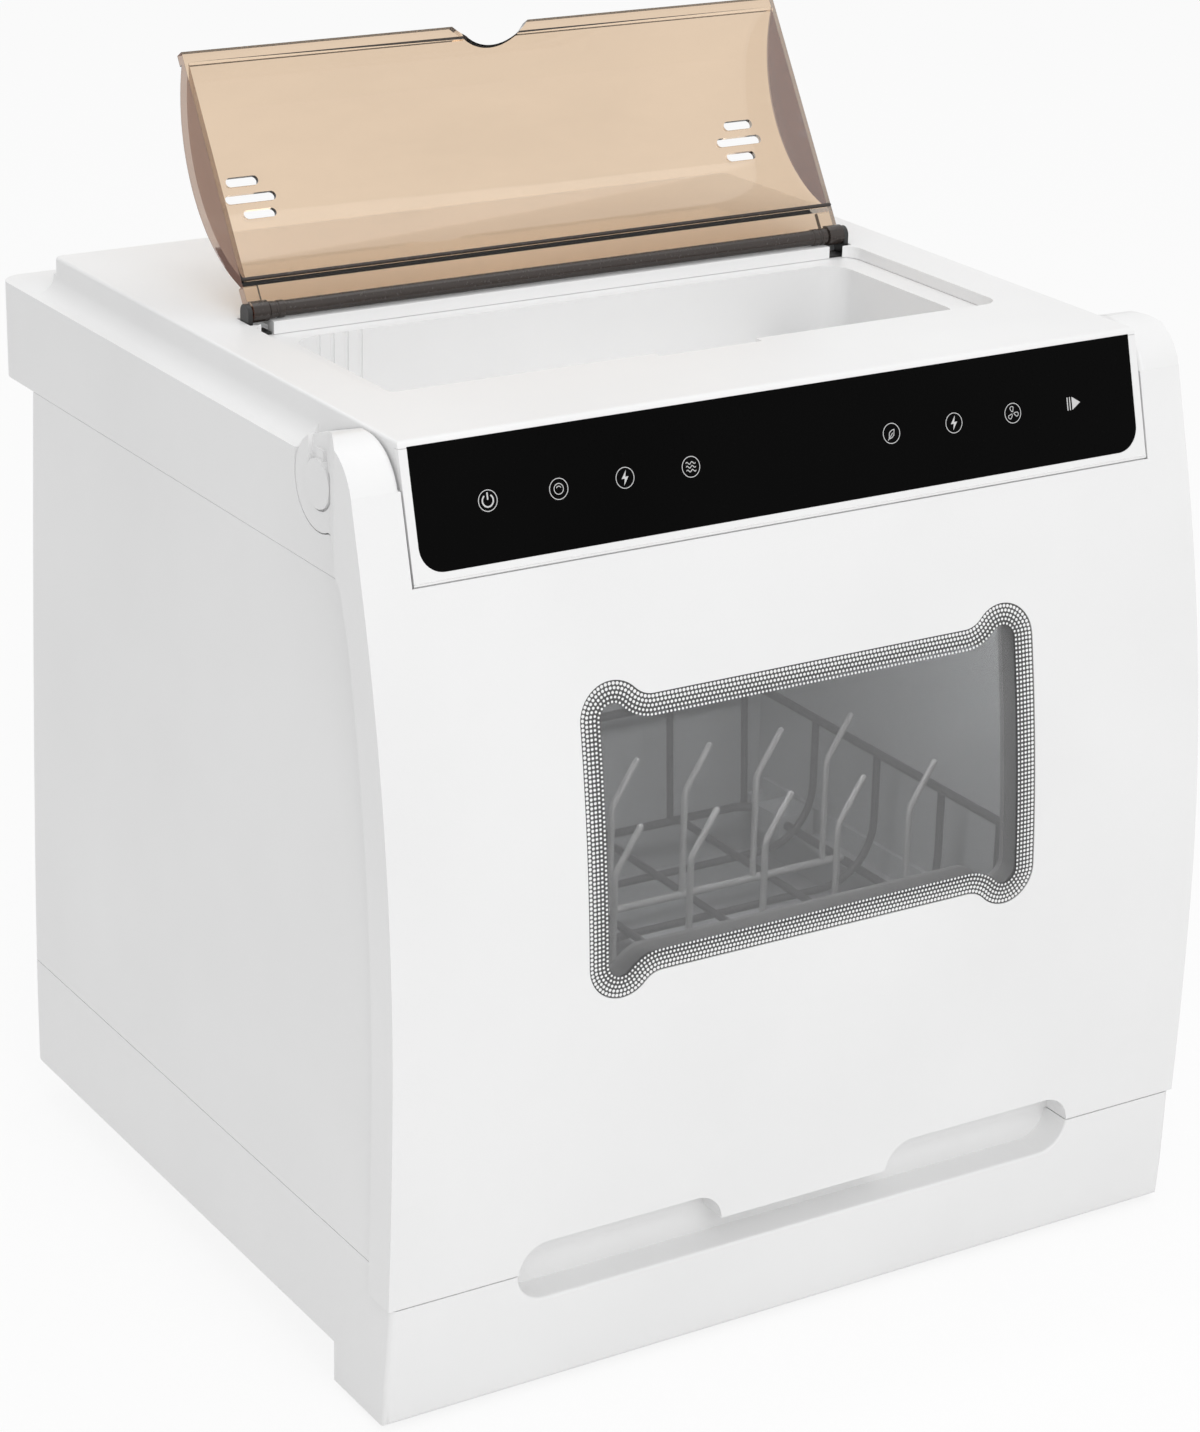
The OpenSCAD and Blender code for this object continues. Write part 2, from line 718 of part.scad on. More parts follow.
module fill_hopper() color("whitesmoke") place() {
    rim_z = deck_h - 2 * wall - seat;
    floor_z = deck_h - hopper_d;
    side_in = 12;
    end_in = 8;
    difference() {
        union() {
            translate([0, 0, rim_z - 2]) linear_extrude(2) round_rect(
                -fill_half - 5, fill_y0 - 5, fill_half + 5, fill_y1 + 1, 6);
            translate([0, 0, floor_z]) linear_extrude(rim_z - floor_z - 1) hopper_outline(end_in, side_in, 14);
            rod_z(spout_r, floor_z - 16, floor_z + 1, spout_x, spout_y);
        }
        translate([0, 0, floor_z + 2]) linear_extrude(deck_h) hopper_outline(end_in + 2, side_in + 2, 12);
        rod_z(spout_r - 2, floor_z - 20, floor_z + 5, spout_x, spout_y);
        // upright grooves in the rear wall, at the left end
        for (i = [0:3]) rod_z(1.1, floor_z + 12, deck_h, -fill_half + 28 + i * 7, fill_y1 - end_in - 2);
    }
}

spout_r = 15;
spout_x = 120;
spout_y = 186;

module hopper_strainer() color("lightgray") place() {
    floor_z = deck_h - hopper_d + 2;
    difference() {
        union() {
            rod_z(spout_r + 4, floor_z + 0.1, floor_z + 2.1, spout_x, spout_y);
            rod_z(spout_r - 2.4, floor_z - 8, floor_z + 1, spout_x, spout_y);
        }
        rod_z(spout_r - 4, floor_z - 6.4, floor_z + 3, spout_x, spout_y);
        for (a = [0:60:300]) rotate_about(spout_x, spout_y, a)
            rod_z(1.8, floor_z - 9, floor_z, spout_x + 6, spout_y);
        rod_z(1.8, floor_z - 9, floor_z, spout_x, spout_y);
    }
}

module rotate_about(x, y, a) {
    translate([x, y, 0]) rotate(a) translate([-x, -y, 0]) children();
}

// ---------------------------------------------------------------- fill lid

lid_z = deck_h + lid_up;
lid_chord = lid_len - 12;
lid_arc_r = (lid_chord * lid_chord / 4 + lid_rise * lid_rise) / (2 * lid_rise);
lid_pin_r = 2.5;
lid_barrel_r = 3.4;

// Local frame of the open lid: x across, y from the hinge to the free edge, z into its hollow
module on_lid() {
    translate([0, lid_y, lid_z]) rotate([90 - lid_back, 0, 0]) children();
}

// Side outline of the lid's arch, shrunk by a distance
module lid_arch(inset) {
    intersection() {
        translate([12 + lid_chord / 2 - 2, lid_arc_r - lid_rise]) circle(lid_arc_r - inset, $fn = 180);
        translate([inset, -lid_rise - 1]) square([lid_len - inset, lid_rise + 1 - (inset > 0 ? -1 : 0)]);
    }
}

module lid_shell() color("sienna", 0.55) place() on_lid() difference() {
    slot_y = 58;
    union() {
        rotate([90, 0, 90]) translate([0, 0, -lid_half]) linear_extrude(2 * lid_half) {
            lid_arch(0);
            // hinge barrel, strip and free edge
            circle(lid_barrel_r);
            translate([2, -lid_wall]) square([14, lid_wall]);
            translate([lid_len - 5, -5]) square([5, 5]);
        }
        both_sides() translate([lid_half - 8, 0, 0]) rotate([90, 0, 90]) linear_extrude(8) {
            circle(lid_pin_r + 2.2);
            translate([0, -lid_pin_r - 2.2]) square([12, lid_pin_r + 2.2]);
        }
    }
    rotate([90, 0, 90]) translate([0, 0, -lid_half + lid_wall]) linear_extrude(2 * (lid_half - lid_wall))
        difference() {
            lid_arch(lid_wall);
            translate([-1, -lid_rise - 2]) square([15, 2 * lid_rise]);
        }
    // seats of the pins
    both_sides() translate([lid_half - 9, 0, 0]) rotate([0, 90, 0]) cylinder(r = lid_pin_r + run_gap, h = 20);
    // finger notch in the free edge
    translate([0, lid_len + 17.7, -lid_rise]) cylinder(r = 26.7, h = 2 * lid_rise);
    // vent slots
    both_sides() for (i = [-1:1]) {
        half = i == 0 ? 12.5 : 8;
        for (s = [-1, 1]) translate([130.5 + i * 2 + s * (half - 2.2), slot_y + 8 * i, -lid_rise - 2])
            cylinder(r = 2.2, h = lid_rise + 1);
        translate([130.5 + i * 2 - half + 2.2, slot_y + 8 * i - 2.2, -lid_rise - 2])
            cube([2 * half - 4.4, 4.4, lid_rise + 1]);
    }
}

// Two pins, each with a foot that is clipped under the deck
module lid_pins() color("black") place() both_sides() {
    foot_x0 = lid_half - 9 + 0.4;
    difference() {
        union() {
            rod_x(lid_pin_r, lid_half - 8, lid_half + 1.4, lid_y, lid_z);
            block([lid_half + 0.4, lid_y - 4, deck_h - wall - 2], [lid_half + 2.6, lid_y + 4, lid_z]);
            rod_x(4, lid_half + 0.4, lid_half + 2.6, lid_y, lid_z);
            block([foot_x0, lid_y - 4, deck_h - wall - 4.6], [lid_half + 2.6, lid_y + 4, deck_h - wall - 2]);
        }
    }
}

// ---------------------------------------------------------------- front frame and door

mouth_half = tub_half - 4;
mouth_z0 = tub_z0 + 4;
mouth_z1 = tub_z1 - 4;
frame_d0 = door_d + door_gap;
frame_d1 = frame_d0 + 3;
frame_top = seam_h - 8;
seal_t = 4.5;
liner_d0 = 12.5;
liner_t = 2.5;

module mouth_outline(grow, r) {
    round_rect(-mouth_half - grow, mouth_z0 - grow, mouth_half + grow, mouth_z1 + grow, r);
}

module front_frame() color("white") place() difference() {
    intersection() {
        along_x(-body_w / 2, body_w / 2) front_band(frame_d0, frame_d1, plinth_top, frame_top);
        side_block(plinth_top, frame_top, -bulge, case_d, wall + seat);
    }
    along_y(-bulge, case_d) mouth_outline(0, 12);
    both_sides() along_x(deck_half - 6, body_w) arm_outline(door_gap);
}

module door_seal() color("dimgray") place() intersection() {
    along_x(-body_w / 2, body_w / 2)
        front_band(liner_d0 + liner_t + 0.3, frame_d0 - 0.1, mouth_z0 - 20, mouth_z1 + 20);
    along_y(-bulge, case_d) difference() {
        mouth_outline(3 + seal_t, 18);
        mouth_outline(3, 14);
    }
    // the top run stays clear of the door's swing
    difference() {
        block([-body_w, -bulge, 0], [body_w, case_d, seam_h]);
        rod_x(door_clear_r + wall + 0.5, -body_w, body_w, pivot_y, pivot_z);
    }
}

// Outline of x and z of the door, kept back from its edges by a distance
module door_outline(inset, z0, z1) {
    a = body_w / 2 - inset;
    b = door_top_half - inset;
    polygon([[-a, z0], [a, z0], [b, z1], [-b, z1]]);
}

door_z0 = plinth_top + door_gap;
post_x = [-door_top_half + 14, -62, 62, door_top_half - 14];
post_z = [door_z0 + 22, 330];

module door_shell() color("white") place() difference() {
    union() {
        // skin, side walls and bottom wall
        difference() {
            intersection() {
                along_x(-body_w / 2, body_w / 2) front_band(0, door_d, door_z0, lean_z);
                along_y(-bulge - eps, case_d) door_outline(0, door_z0, deck_h);
            }
            intersection() {
                along_x(-body_w / 2, body_w / 2) front_band(wall, door_d + eps, door_z0 + wall, lean_z + eps);
                along_y(-bulge, case_d) door_outline(wall, door_z0, deck_h);
                difference() {
                    block([-body_w, -bulge, 0], [body_w, case_d, deck_h]);
                    rod_x(door_clear_r + wall, -body_w, body_w, pivot_y, pivot_z);
                }
            }
        }
        // arms
        both_sides() intersection() {
            along_x(ear_half, body_w / 2) arm_outline(0);
            along_y(-bulge, case_d) door_outline(0, door_z0, deck_h + 1);
            // the arm's outer face runs in to the fixed side wall
            linear_extrude(deck_h + 1) polygon([
                [0, -bulge], [body_w, -bulge], [body_w, pivot_y - 36], [door_top_half, pivot_y - 34],
                [seam_half, pivot_y - 10], [seam_half, pivot_y + 2 * arm_r], [0, pivot_y + 2 * arm_r]
            ]);
        }
        // screw posts of the liner
        for (x = post_x, z = post_z) intersection() {
            rod_y(4, -bulge, liner_d0 + lean_y, x, z);
            along_x(-body_w, body_w) front_band(wall - 0.5, liner_d0 - 0.1, z - 20, z + 20);
        }
        // walls of the finger pockets
        both_sides() intersection() {
            pocket_solid(wall);
            along_x(-body_w, body_w) front_band(wall - 0.5, liner_d0 + liner_t, door_z0, door_z0 + 2 * grip_r);
        }
    }
    // fingers reach in under the door's edge
    both_sides() pocket_solid(0);
    // between the arms the door ends on a circle about the pivot
    rod_x(door_clear_r, -ear_half, ear_half, pivot_y, pivot_z);
    along_x(-ear_half, ear_half) polygon([[-bulge - 10, lean_z + 0.4], [pivot_y, lean_z + 0.4],
        [pivot_y, deck_h + 9], [-bulge - 10, deck_h + 9]]);
    // window
    along_y(-2 * bulge, wall + 40) intersection() {
        window_outline(0);
        translate([-body_w / 2, 0]) square([body_w, lean_z]);
    }
    // bearings, cap seats and the clip slot above each
    both_sides() {
        rod_x(pin_r + run_gap, ear_half - eps, body_w / 2, pivot_y, pivot_z);
        rod_x(cap_r + 1, seam_half - 2, body_w / 2, pivot_y, pivot_z);
        block([seam_half - 2, pivot_y - 8.5, pivot_z], [body_w / 2, pivot_y + 8.5, deck_h + 1]);
    }
    for (x = post_x, z = post_z) rod_y(1.2, front_y(z) + wall, liner_d0 + lean_y, x, z);
}

// Finger pocket in the door's lower edge, grown by a distance
module pocket_solid(grow) {
    intersection() {
        along_y(-2 * bulge, grip_d - 2 + grow) {
            for (x = [grip_mid + grip_r, grip_half - grip_r]) translate([x, plinth_top]) circle(grip_r + grow);
            translate([grip_mid + grip_r, plinth_top - grip_r])
                square([grip_half - grip_mid - 2 * grip_r, 2 * grip_r + grow]);
        }
        block([0, -2 * bulge, door_z0 - eps], [body_w, case_d, deck_h]);
    }
}

module door_liner() color("whitesmoke") place() difference() {
    top = seam_h - 17;
    intersection() {
        along_x(-body_w / 2, body_w / 2) front_band(liner_d0, liner_d0 + liner_t, door_z0 + 2 * wall, top);
        along_y(-bulge, case_d) door_outline(wall + 0.3, door_z0, deck_h);
        difference() {
            block([-body_w, -bulge, 0], [body_w, case_d, deck_h]);
            rod_x(door_clear_r + wall + 0.3, -body_w, body_w, pivot_y, pivot_z);
        }
    }
    along_y(-bulge, 3 * liner_d0 + lean_y) window_outline(-8);
    for (x = post_x, z = post_z) rod_y(1.9 + seat, -bulge, 3 * liner_d0, x, z);
    both_sides() pocket_solid(wall + 0.3);
    for (x = catch_x) block([x - 9.3, -bulge, catch_z - 6.3], [x + 9.3, case_d, catch_z + 6.3]);
}

catch_x = [-26, 26];
catch_z = 76;

module liner_screws() color("silver") place()
    for (x = post_x, z = post_z) translate([x, front_y(z) + liner_d0 + liner_t, z]) rotate([90, 0, 0])
        translate([0, 0, -2.4]) screw_plain(2.4, 2.4 + liner_t + 5);

// Screw along z with its head first, lifted so that the flat head clears the sloped liner
module screw_plain(head, tip) {
    lift = 0.7;
    cylinder(r = 3, h = head - lift);
    translate([0, 0, head - lift]) cylinder(r = 1.15, h = tip - head);
}

module catch_plates() color("silver") place() for (x = catch_x) {
    y = front_y(catch_z) + liner_d0 - 1;
    block([x - 9, y + 0.4, catch_z - 6], [x + 9, y + 3.4, catch_z + 6]);
}

module catch_magnets() color("dimgray") place() for (x = catch_x) {
    y1 = front_y(catch_z) + frame_d0 - seat;
    block([x - 9, y1 - 2.6, catch_z - 6], [x + 9, y1, catch_z + 6]);
}

module window_slice(d0, d1) {
    along_x(-body_w / 2, body_w / 2) front_band(d0, d1, win_z0 - 30, win_z1 + 22);
}

module door_window() color("gray", 0.5) place() intersection() {
    window_slice(0.8, 0.8 + pane_t);
    along_y(-2 * bulge, case_d) window_outline(-seat);
}

module window_border() color("lightgray") place() intersection() {
    window_slice(0.4, 0.8);
    along_y(-2 * bulge, case_d) difference() {
        window_outline(-seat);
        window_outline(-border_w);
    }
}

module window_gasket() color("dimgray") place() difference() {
    union() {
        intersection() {
            window_slice(0.8 + pane_t, liner_d0 - 0.1);
            along_y(-2 * bulge, case_d) window_outline(2);
        }
        intersection() {
            window_slice(wall + 0.1, liner_d0 - 0.1);
            along_y(-2 * bulge, case_d) difference() {
                window_outline(3);
                window_outline(0.2);
            }
        }
    }
    along_y(-2 * bulge, case_d) window_outline(-8);
}

module pivot_pins() color("silver") place() both_sides()
    rod_x(pin_r, deck_half - wall - 8, seam_half - 3.4, pivot_y, pivot_z);

module pivot_caps() color("white") place() both_sides() {
    rod_x(cap_r, seam_half - 2, seam_half + 0.8, pivot_y, pivot_z);
    difference() {
        block([seam_half - 2, pivot_y - 3, pivot_z + cap_r - 1],
              [seam_half - 0.6, pivot_y + 3, pivot_z + cap_r + 4]);
        rod_x(cap_r - 0.5, seam_half - 3, seam_half + 1, pivot_y, pivot_z);
    }
}

// ---------------------------------------------------------------- wash chamber

hub_x = 0;
// Front of the circle that the spray arms need
arm_y0 = 36;
hub_y = (arm_y0 + tub_y1) / 2;
arm_len = tub_y1 - arm_y0 - 2 * arm_gap;
sump_x = 84;
heater_r = 4;
heater_ring = 42;
heater_z = tub_z0 + 8;
duct_r = 16;
tub_back = tub_y1 + tub_wall;

module tub() color("lightgray") place() difference() {
    along_x(-tub_half - tub_wall, tub_half + tub_wall)
        behind_front(frame_d1 + 0.1, tub_z0 - tub_wall, tub_z1 + tub_wall, tub_back);
    along_x(-tub_half, tub_half) behind_front(frame_d1 - eps, tub_z0, tub_z1, tub_y1);
    rod_z(sump_r, tub_z0 - tub_wall - eps, tub_z0 + eps, sump_x, hub_y);
    rod_z(post_bore, tub_z0 - tub_wall - eps, tub_z0 + eps, hub_x, hub_y);
    rod_z(post_bore, tub_z1 - eps, tub_z1 + tub_wall + eps, hub_x, hub_y);
    for (s = [-1, 1]) rod_y(heater_r + 0.05, tub_y1 - eps, tub_back + eps, s * 12, heater_z);
    rod_y(duct_r - 2, tub_y1 - eps, tub_back + eps, fan_x, fan_z);
}

post_bore = 9;

// Posts under the tub: the front pair stands wide, the rear pair between the board and the drain pump
bracket_at = [[140, 62], [104, tub_y1 - 20]];

module tub_brackets() color("dimgray") place() both_sides() for (p = bracket_at) translate([p[0], p[1], 0]) {
    block([-9, -9, under_h + wall], [9, 9, under_h + wall + 3]);
    block([-6, -6, under_h + wall + 3], [6, 6, tub_z0 - tub_wall]);
}

sump_top = tub_z0 - tub_wall;
sump_floor = tub_z0 - sump_d;

module sump() color("gray") place() difference() {
    union() {
        rod_z(sump_r + 2, sump_floor, sump_top, sump_x, hub_y);
        rod_z(sump_r + 8, sump_top - 3, sump_top, sump_x, hub_y);
    }
    difference() {
        rod_z(sump_r, sump_floor + 2.5, sump_top + eps, sump_x, hub_y);
        // ledge under the mesh
        difference() {
            rod_z(sump_r, sump_top - 2.6, sump_top - 0.6, sump_x, hub_y);
            rod_z(sump_r - 3, sump_top - 4, sump_top + eps, sump_x, hub_y);
        }
    }
    rod_x(stub_r, sump_x - sump_r - 4, sump_x - sump_r + 8, hub_y, stub_z);
    rod_x(stub_r, sump_x + sump_r - 8, sump_x + sump_r + 4, hub_y, stub_z);
}

stub_r = 7;
stub_z = sump_floor + 11;

module filter_mesh() color("silver") place() {
    z = sump_top - 0.5;
    difference() {
        rod_z(sump_r - 0.2, z, z + 1.2, sump_x, hub_y);
        rod_z(cup_r + 0.3, z - eps, z + 2, sump_x, hub_y);
        for (a = [0:15:345]) rotate_about(sump_x, hub_y, a)
            rod_z(1.5, z - eps, z + 2, sump_x + (cup_r + sump_r) / 2, hub_y);
    }
}

module filter_cup() color("lightgray") place() {
    z0 = sump_floor + 2.8;
    z1 = tub_z0 + 1;
    difference() {
        union() {
            rod_z(cup_r - 2, z0, z1, sump_x, hub_y);
            rod_z(cup_r + 3, sump_top + 1, z1, sump_x, hub_y);
        }
        rod_z(cup_r - 4, z0 + 2, z1 + eps, sump_x, hub_y);
        for (a = [0:36:144]) rotate_about(sump_x, hub_y, a)
            block([sump_x - cup_r - 4, hub_y - 2.5, z0 + 5], [sump_x + cup_r + 4, hub_y + 2.5, z0 + 17]);
    }
    // handle across the cup
    block([sump_x - cup_r + 3, hub_y - 2, z1 - 6], [sump_x + cup_r - 3, hub_y + 2, z1 + 5]);
}

module heater() color("silver") place() {
    translate([hub_x, hub_y, heater_z]) difference() {
        rotate_extrude() translate([heater_ring, 0]) circle(heater_r);
        block([-12, 0, -10], [12, heater_ring + 10, 10]);
    }
    leg_y = hub_y + sqrt(heater_ring * heater_ring - 144);
    for (s = [-1, 1]) {
        rod_y(heater_r, leg_y - 1, tub_back + 2, s * 12, heater_z);
        rod_y(heater_r + 3, tub_y1 - 3, tub_y1, s * 12, heater_z);
    }
    // foot that holds the front of the ring
    block([-5, hub_y - heater_ring - 5, tub_z0], [5, hub_y - heater_ring + 5, heater_z - 2]);
}

axle_r = 5;
arm_z = tub_z0 + arm_up;
top_arm_z = tub_z1 - 26;

module spray_post() color("gray") place() {
    difference() {
        union() {
            rod_z(post_bore, tub_z0 - tub_wall - 5, tub_z0 + 3, hub_x, hub_y);
            rod_z(post_bore + 6, tub_z0, tub_z0 + 5, hub_x, hub_y);
            rod_z(post_bore - 1, tub_z0 + 4, arm_z - 0.3, hub_x, hub_y);
            rod_z(axle_r, arm_z - 1, arm_z + 12, hub_x, hub_y);
            rod_z(axle_r + 3, arm_z + 10.3, arm_z + 13, hub_x, hub_y);
        }
        rod_z(axle_r - 1.6, tub_z0 - tub_wall - 6, arm_z + 10, hub_x, hub_y);
    }
}

// Hollow arm with jets, which turns on a bore at its middle
module spray_arm(length, z, jets_up) {
    h = 10;
    difference() {
        translate([hub_x, hub_y, z]) {
            linear_extrude(h) {
                polygon([
                    [-length / 2 + 9, -9], [0, -15], [length / 2 - 9, -9],
                    [length / 2 - 9, 9], [0, 15], [-length / 2 + 9, 9]
                ]);
                for (s = [-1, 1]) translate([s * (length / 2 - 9), 0]) circle(9);
                circle(18);
            }
        }
        translate([hub_x, hub_y, z + 2]) linear_extrude(h - 4) {
            polygon([
                [-length / 2 + 12, -6], [0, -12], [length / 2 - 12, -6],
                [length / 2 - 12, 6], [0, 12], [-length / 2 + 12, 6]
            ]);
        }
        rod_z(axle_r + run_gap, z - eps, z + h + eps, hub_x, hub_y);
        for (s = [-1, 1], i = [1:4]) rod_z(1.5, jets_up ? z + h - 3 : z - eps, jets_up ? z + h + eps : z + 3,
            hub_x + s * (length / 2 - 9 - 18 * (i - 1)), hub_y + (i % 2 == 0 ? 3 : -3));
    }
}

module lower_spray_arm() color("lightgray") place() spray_arm(arm_len, arm_z, true);

module upper_spray_post() color("gray") place() difference() {
    union() {
        rod_z(post_bore, tub_z1 - 3, tub_z1 + tub_wall + 5, hub_x, hub_y);
        rod_z(post_bore + 6, tub_z1 - 5, tub_z1, hub_x, hub_y);
        rod_z(post_bore - 1, top_arm_z + 10.3, tub_z1 - 4, hub_x, hub_y);
        rod_z(axle_r, top_arm_z - 2, top_arm_z + 11, hub_x, hub_y);
        rod_z(axle_r + 3, top_arm_z - 3, top_arm_z - 0.3, hub_x, hub_y);
    }
    rod_z(axle_r - 1.6, top_arm_z, tub_z1 + tub_wall + 6, hub_x, hub_y);
}

module upper_spray_arm() color("lightgray") place() spray_arm(top_arm_len, top_arm_z, false);

module chamber_lamp() color("lightblue") place() difference() {
    rod_z(15, tub_z1 - 7, tub_z1, 104, 226);
    for (a = [0:90:270]) rotate_about(104, 226, a) rod_z(1, tub_z1 - 8, tub_z1 - 5, 115, 226);
}

// ---------------------------------------------------------------- rack

runner_z = rack_z - wire_r - 6;
shoe_y = [rack_y0 + 26, rack_y1 - 26];

module rack_runners() color("lightgray") place() both_sides() {
    block([tub_half - 12, frame_d1 + 1, runner_z - 4], [tub_half, tub_y1 - 8, runner_z]);
    block([tub_half - 2.5, frame_d1 + 1, runner_z - 1], [tub_half, tub_y1 - 8, runner_z + 12]);
    // stop that the rear shoes meet
    block([tub_half - 12, tub_y1 - 12, runner_z - 1], [tub_half, tub_y1 - 8, runner_z + 6]);
}

// Loop of four wires with round corners
module wire_loop(inset, z) {
    a = rack_half - inset;
    y0 = rack_y0 + inset;
    y1 = rack_y1 - inset;
    wire(wire_r, [-a, y0, z], [a, y0, z]);
    wire(wire_r, [a, y0, z], [a, y1, z]);
    wire(wire_r, [a, y1, z], [-a, y1, z]);
    wire(wire_r, [-a, y1, z], [-a, y0, z]);
}

// Upright wire between a point of the base loop and the point above it on the rail
module upright(base, top) {
    clear = (2 * wire_r - 0.4 + 0.1) / rail_up;
    wire(wire_r - 0.4, base + clear * (top - base), top);
}

module rack_frame() color("gray") place() {
    wire_loop(4, rack_z);
    for (i = [1:5]) let (x = -rack_half + 2 * rack_half * i / 6)
        wire(wire_r - 0.3, [x, rack_y0 + 4, rack_z], [x, rack_y1 - 4, rack_z]);
    for (i = [1:3]) let (y = rack_y0 + (rack_y1 - rack_y0) * i / 4)
        wire(wire_r - 0.3, [-rack_half + 4, y, rack_z - 3], [rack_half - 4, y, rack_z - 3]);
}

// Rear rail with its uprights
module rack_rail() color("gray") place() {
    z = rack_z + rail_up;
    wire(wire_r, [-rack_half, rack_y1, z], [rack_half, rack_y1, z]);
    for (i = [0:6]) let (x = -rack_half + 8 + (2 * rack_half - 16) * i / 6)
        upright([x, rack_y1 - 4, rack_z], [x, rack_y1, z]);
}

// Side rails with their uprights, butted against the rear rail
module rack_sides() color("gray") place() both_sides() {
    z = rack_z + rail_up;
    wire(wire_r, [rack_half, rack_y0 + 4, z], [rack_half, rack_y1 - 2 * wire_r - 0.1, z]);
    for (i = [0:3]) let (y = max(rack_y0 + 4, rack_y0 + (rack_y1 - rack_y0) * i / 4))
        upright([rack_half - 4, y, rack_z], [rack_half, y, z]);
}

tine_rows = [rack_y0 + 50, rack_y0 + 118];
tine_count = 7;
tine_bend = 21;
tine_lean = 13;

module rack_tines() color("lightgray") place() {
    for (y = tine_rows) {
        wire(tine_r + 0.4, [-rack_half + 9, y, rack_z + 4], [rack_half - 9, y, rack_z + 4]);
        for (i = [0:tine_count - 1]) let (x = -rack_half + 20 + (2 * rack_half - 40) * i / (tine_count - 1)) {
            bend_z = rack_z + tine_h - tine_bend;
            // the first two of the front row lean outwards, the others inwards
            outwards = y == tine_rows[0] && i < 2 ? 1 : 0;
            wire(tine_r, [x, y, rack_z + 4], [x, y, bend_z]);
            translate([x, y, bend_z]) mirror([outwards, 0, 0]) wire(tine_r, [0, 0, 0], [tine_lean, 0, tine_bend]);
        }
    }
}

module rack_shoes() color("white") place() for (s = [-1, 1], y = shoe_y) difference() {
    block([min(s * (rack_half - 9), s * (tub_half - 6)), y - 11, runner_z + 0.2],
          [max(s * (rack_half - 9), s * (tub_half - 6)), y + 11, rack_z + wire_r + 3]);
    rod_y(wire_r + 0.02, y - 12, y + 12, s * (rack_half - 4), rack_z);
}

// ---------------------------------------------------------------- water works

tank_x0 = -44;
tank_x1 = seam_half - 13.6;
tank_y0 = tub_back + 3;
tank_z0 = 128;
tank_z1 = seam_h - 11;
tank_wall = 2.5;
neck_z = (tub_z1 + tub_wall + deck_h - hopper_d - 16) / 2;
float_x = -10;
float_travel = 60;
float_z = tank_z0 + 30;

module water_tank() color("lightsteelblue", 0.6) place() {
    difference() {
        union() {
            block([tank_x0, tank_y0, tank_z0], [tank_x1, tank_y0 + tank_d, tank_z1]);
            block([spout_x - 14, tank_y0, tank_z1 - 1], [spout_x + 14, tank_y0 + 30, neck_z + hose_r + 3]);
        }
        block([tank_x0 + tank_wall, tank_y0 + tank_wall, tank_z0 + tank_wall],
              [tank_x1 - tank_wall, tank_y0 + tank_d - tank_wall, tank_z1 - tank_wall]);
        block([spout_x - 10, tank_y0 + 10, tank_z1 - 5], [spout_x + 10, tank_y0 + 26, neck_z + hose_r]);
        rod_y(hose_r - 2, tank_y0 - eps, tank_y0 + 12, spout_x, neck_z);
        rod_z(hose_r - 3, tank_z0 - eps, tank_z0 + 5, inlet_port_x, tank_y0 + tank_d / 2);
    }
    // float's guide rod
    rod_z(3, tank_z0 + 1, tank_z1 - 1, float_x, tank_y0 + tank_d / 2);
    rod_z(8, tank_z0 + 1, float_z - 0.3, float_x, tank_y0 + tank_d / 2);
    // mounting feet that stand on the tray's rear posts
    for (x = [tank_x0 + 14, tank_x1 - 44])
        block([x - 8, tank_y0 + 8, under_h + wall], [x + 8, tank_y0 + 24, tank_z0 + 1]);
}

module tank_float() color("orange") place() difference() {
    rod_z(15, float_z, float_z + 24, float_x, tank_y0 + tank_d / 2);
    rod_z(3 + run_gap, float_z - eps, float_z + 25, float_x, tank_y0 + tank_d / 2);
}

module tank_hose() color("dimgray") place() {
    spout_end = deck_h - hopper_d - 16;
    difference() {
        union() {
            rod_z(spout_r + 2.2, spout_end - 14, spout_end + 6, spout_x, spout_y);
            rod_y(hose_r, spout_y, tank_y0 - 0.1, spout_x, neck_z);
        }
        rod_z(spout_r + 0.1, spout_end - 0.1, spout_end + 7, spout_x, spout_y);
        rod_z(spout_r - 2, spout_end - 12, spout_end + 1, spout_x, spout_y);
        rod_y(hose_r - 2, spout_y, tank_y0 + eps, spout_x, neck_z);
    }
}

pump_z = 55;
pump_x1 = 12;

module wash_pump() color("dimgray") place() {
    difference() {
        union() {
            rod_x(pump_r, pump_x1 - 28, pump_x1, hub_y, pump_z);
            rod_x(pump_r - 4, pump_x1 - 100, pump_x1 - 27, hub_y, pump_z);
            rod_x(stub_r, pump_x1 - 1, sump_x - sump_r - 0.2, hub_y, stub_z);
            rod_z(post_bore - 1, pump_z, tub_z0 - tub_wall - 5.1, hub_x, hub_y);
            block([pump_x1 - 24, hub_y - 16, under_h + wall], [pump_x1 - 6, hub_y + 16, pump_z - 12]);
            block([pump_x1 - 90, hub_y - 14, under_h + wall], [pump_x1 - 70, hub_y + 14, pump_z - 12]);
            rod_y(hose_r, hub_y, hub_y + pump_r + 8, pump_x1 - 14, pump_z);
        }
        rod_x(pump_r - 3, pump_x1 - 25, pump_x1 - 3, hub_y, pump_z);
        rod_x(pump_r - 7, pump_x1 - 97, pump_x1 - 28, hub_y, pump_z);
        rod_x(rotor_r + run_gap, pump_x1 - 29, pump_x1 - 20, hub_y, pump_z);
        rod_x(stub_r - 2, pump_x1 - 4, sump_x, hub_y, stub_z);
        rod_z(post_bore - 3, pump_z + 8, tub_z0, hub_x, hub_y);
        rod_y(hose_r - 2, hub_y + 8, hub_y + pump_r + 9, pump_x1 - 14, pump_z);
    }
}

rotor_r = 4;

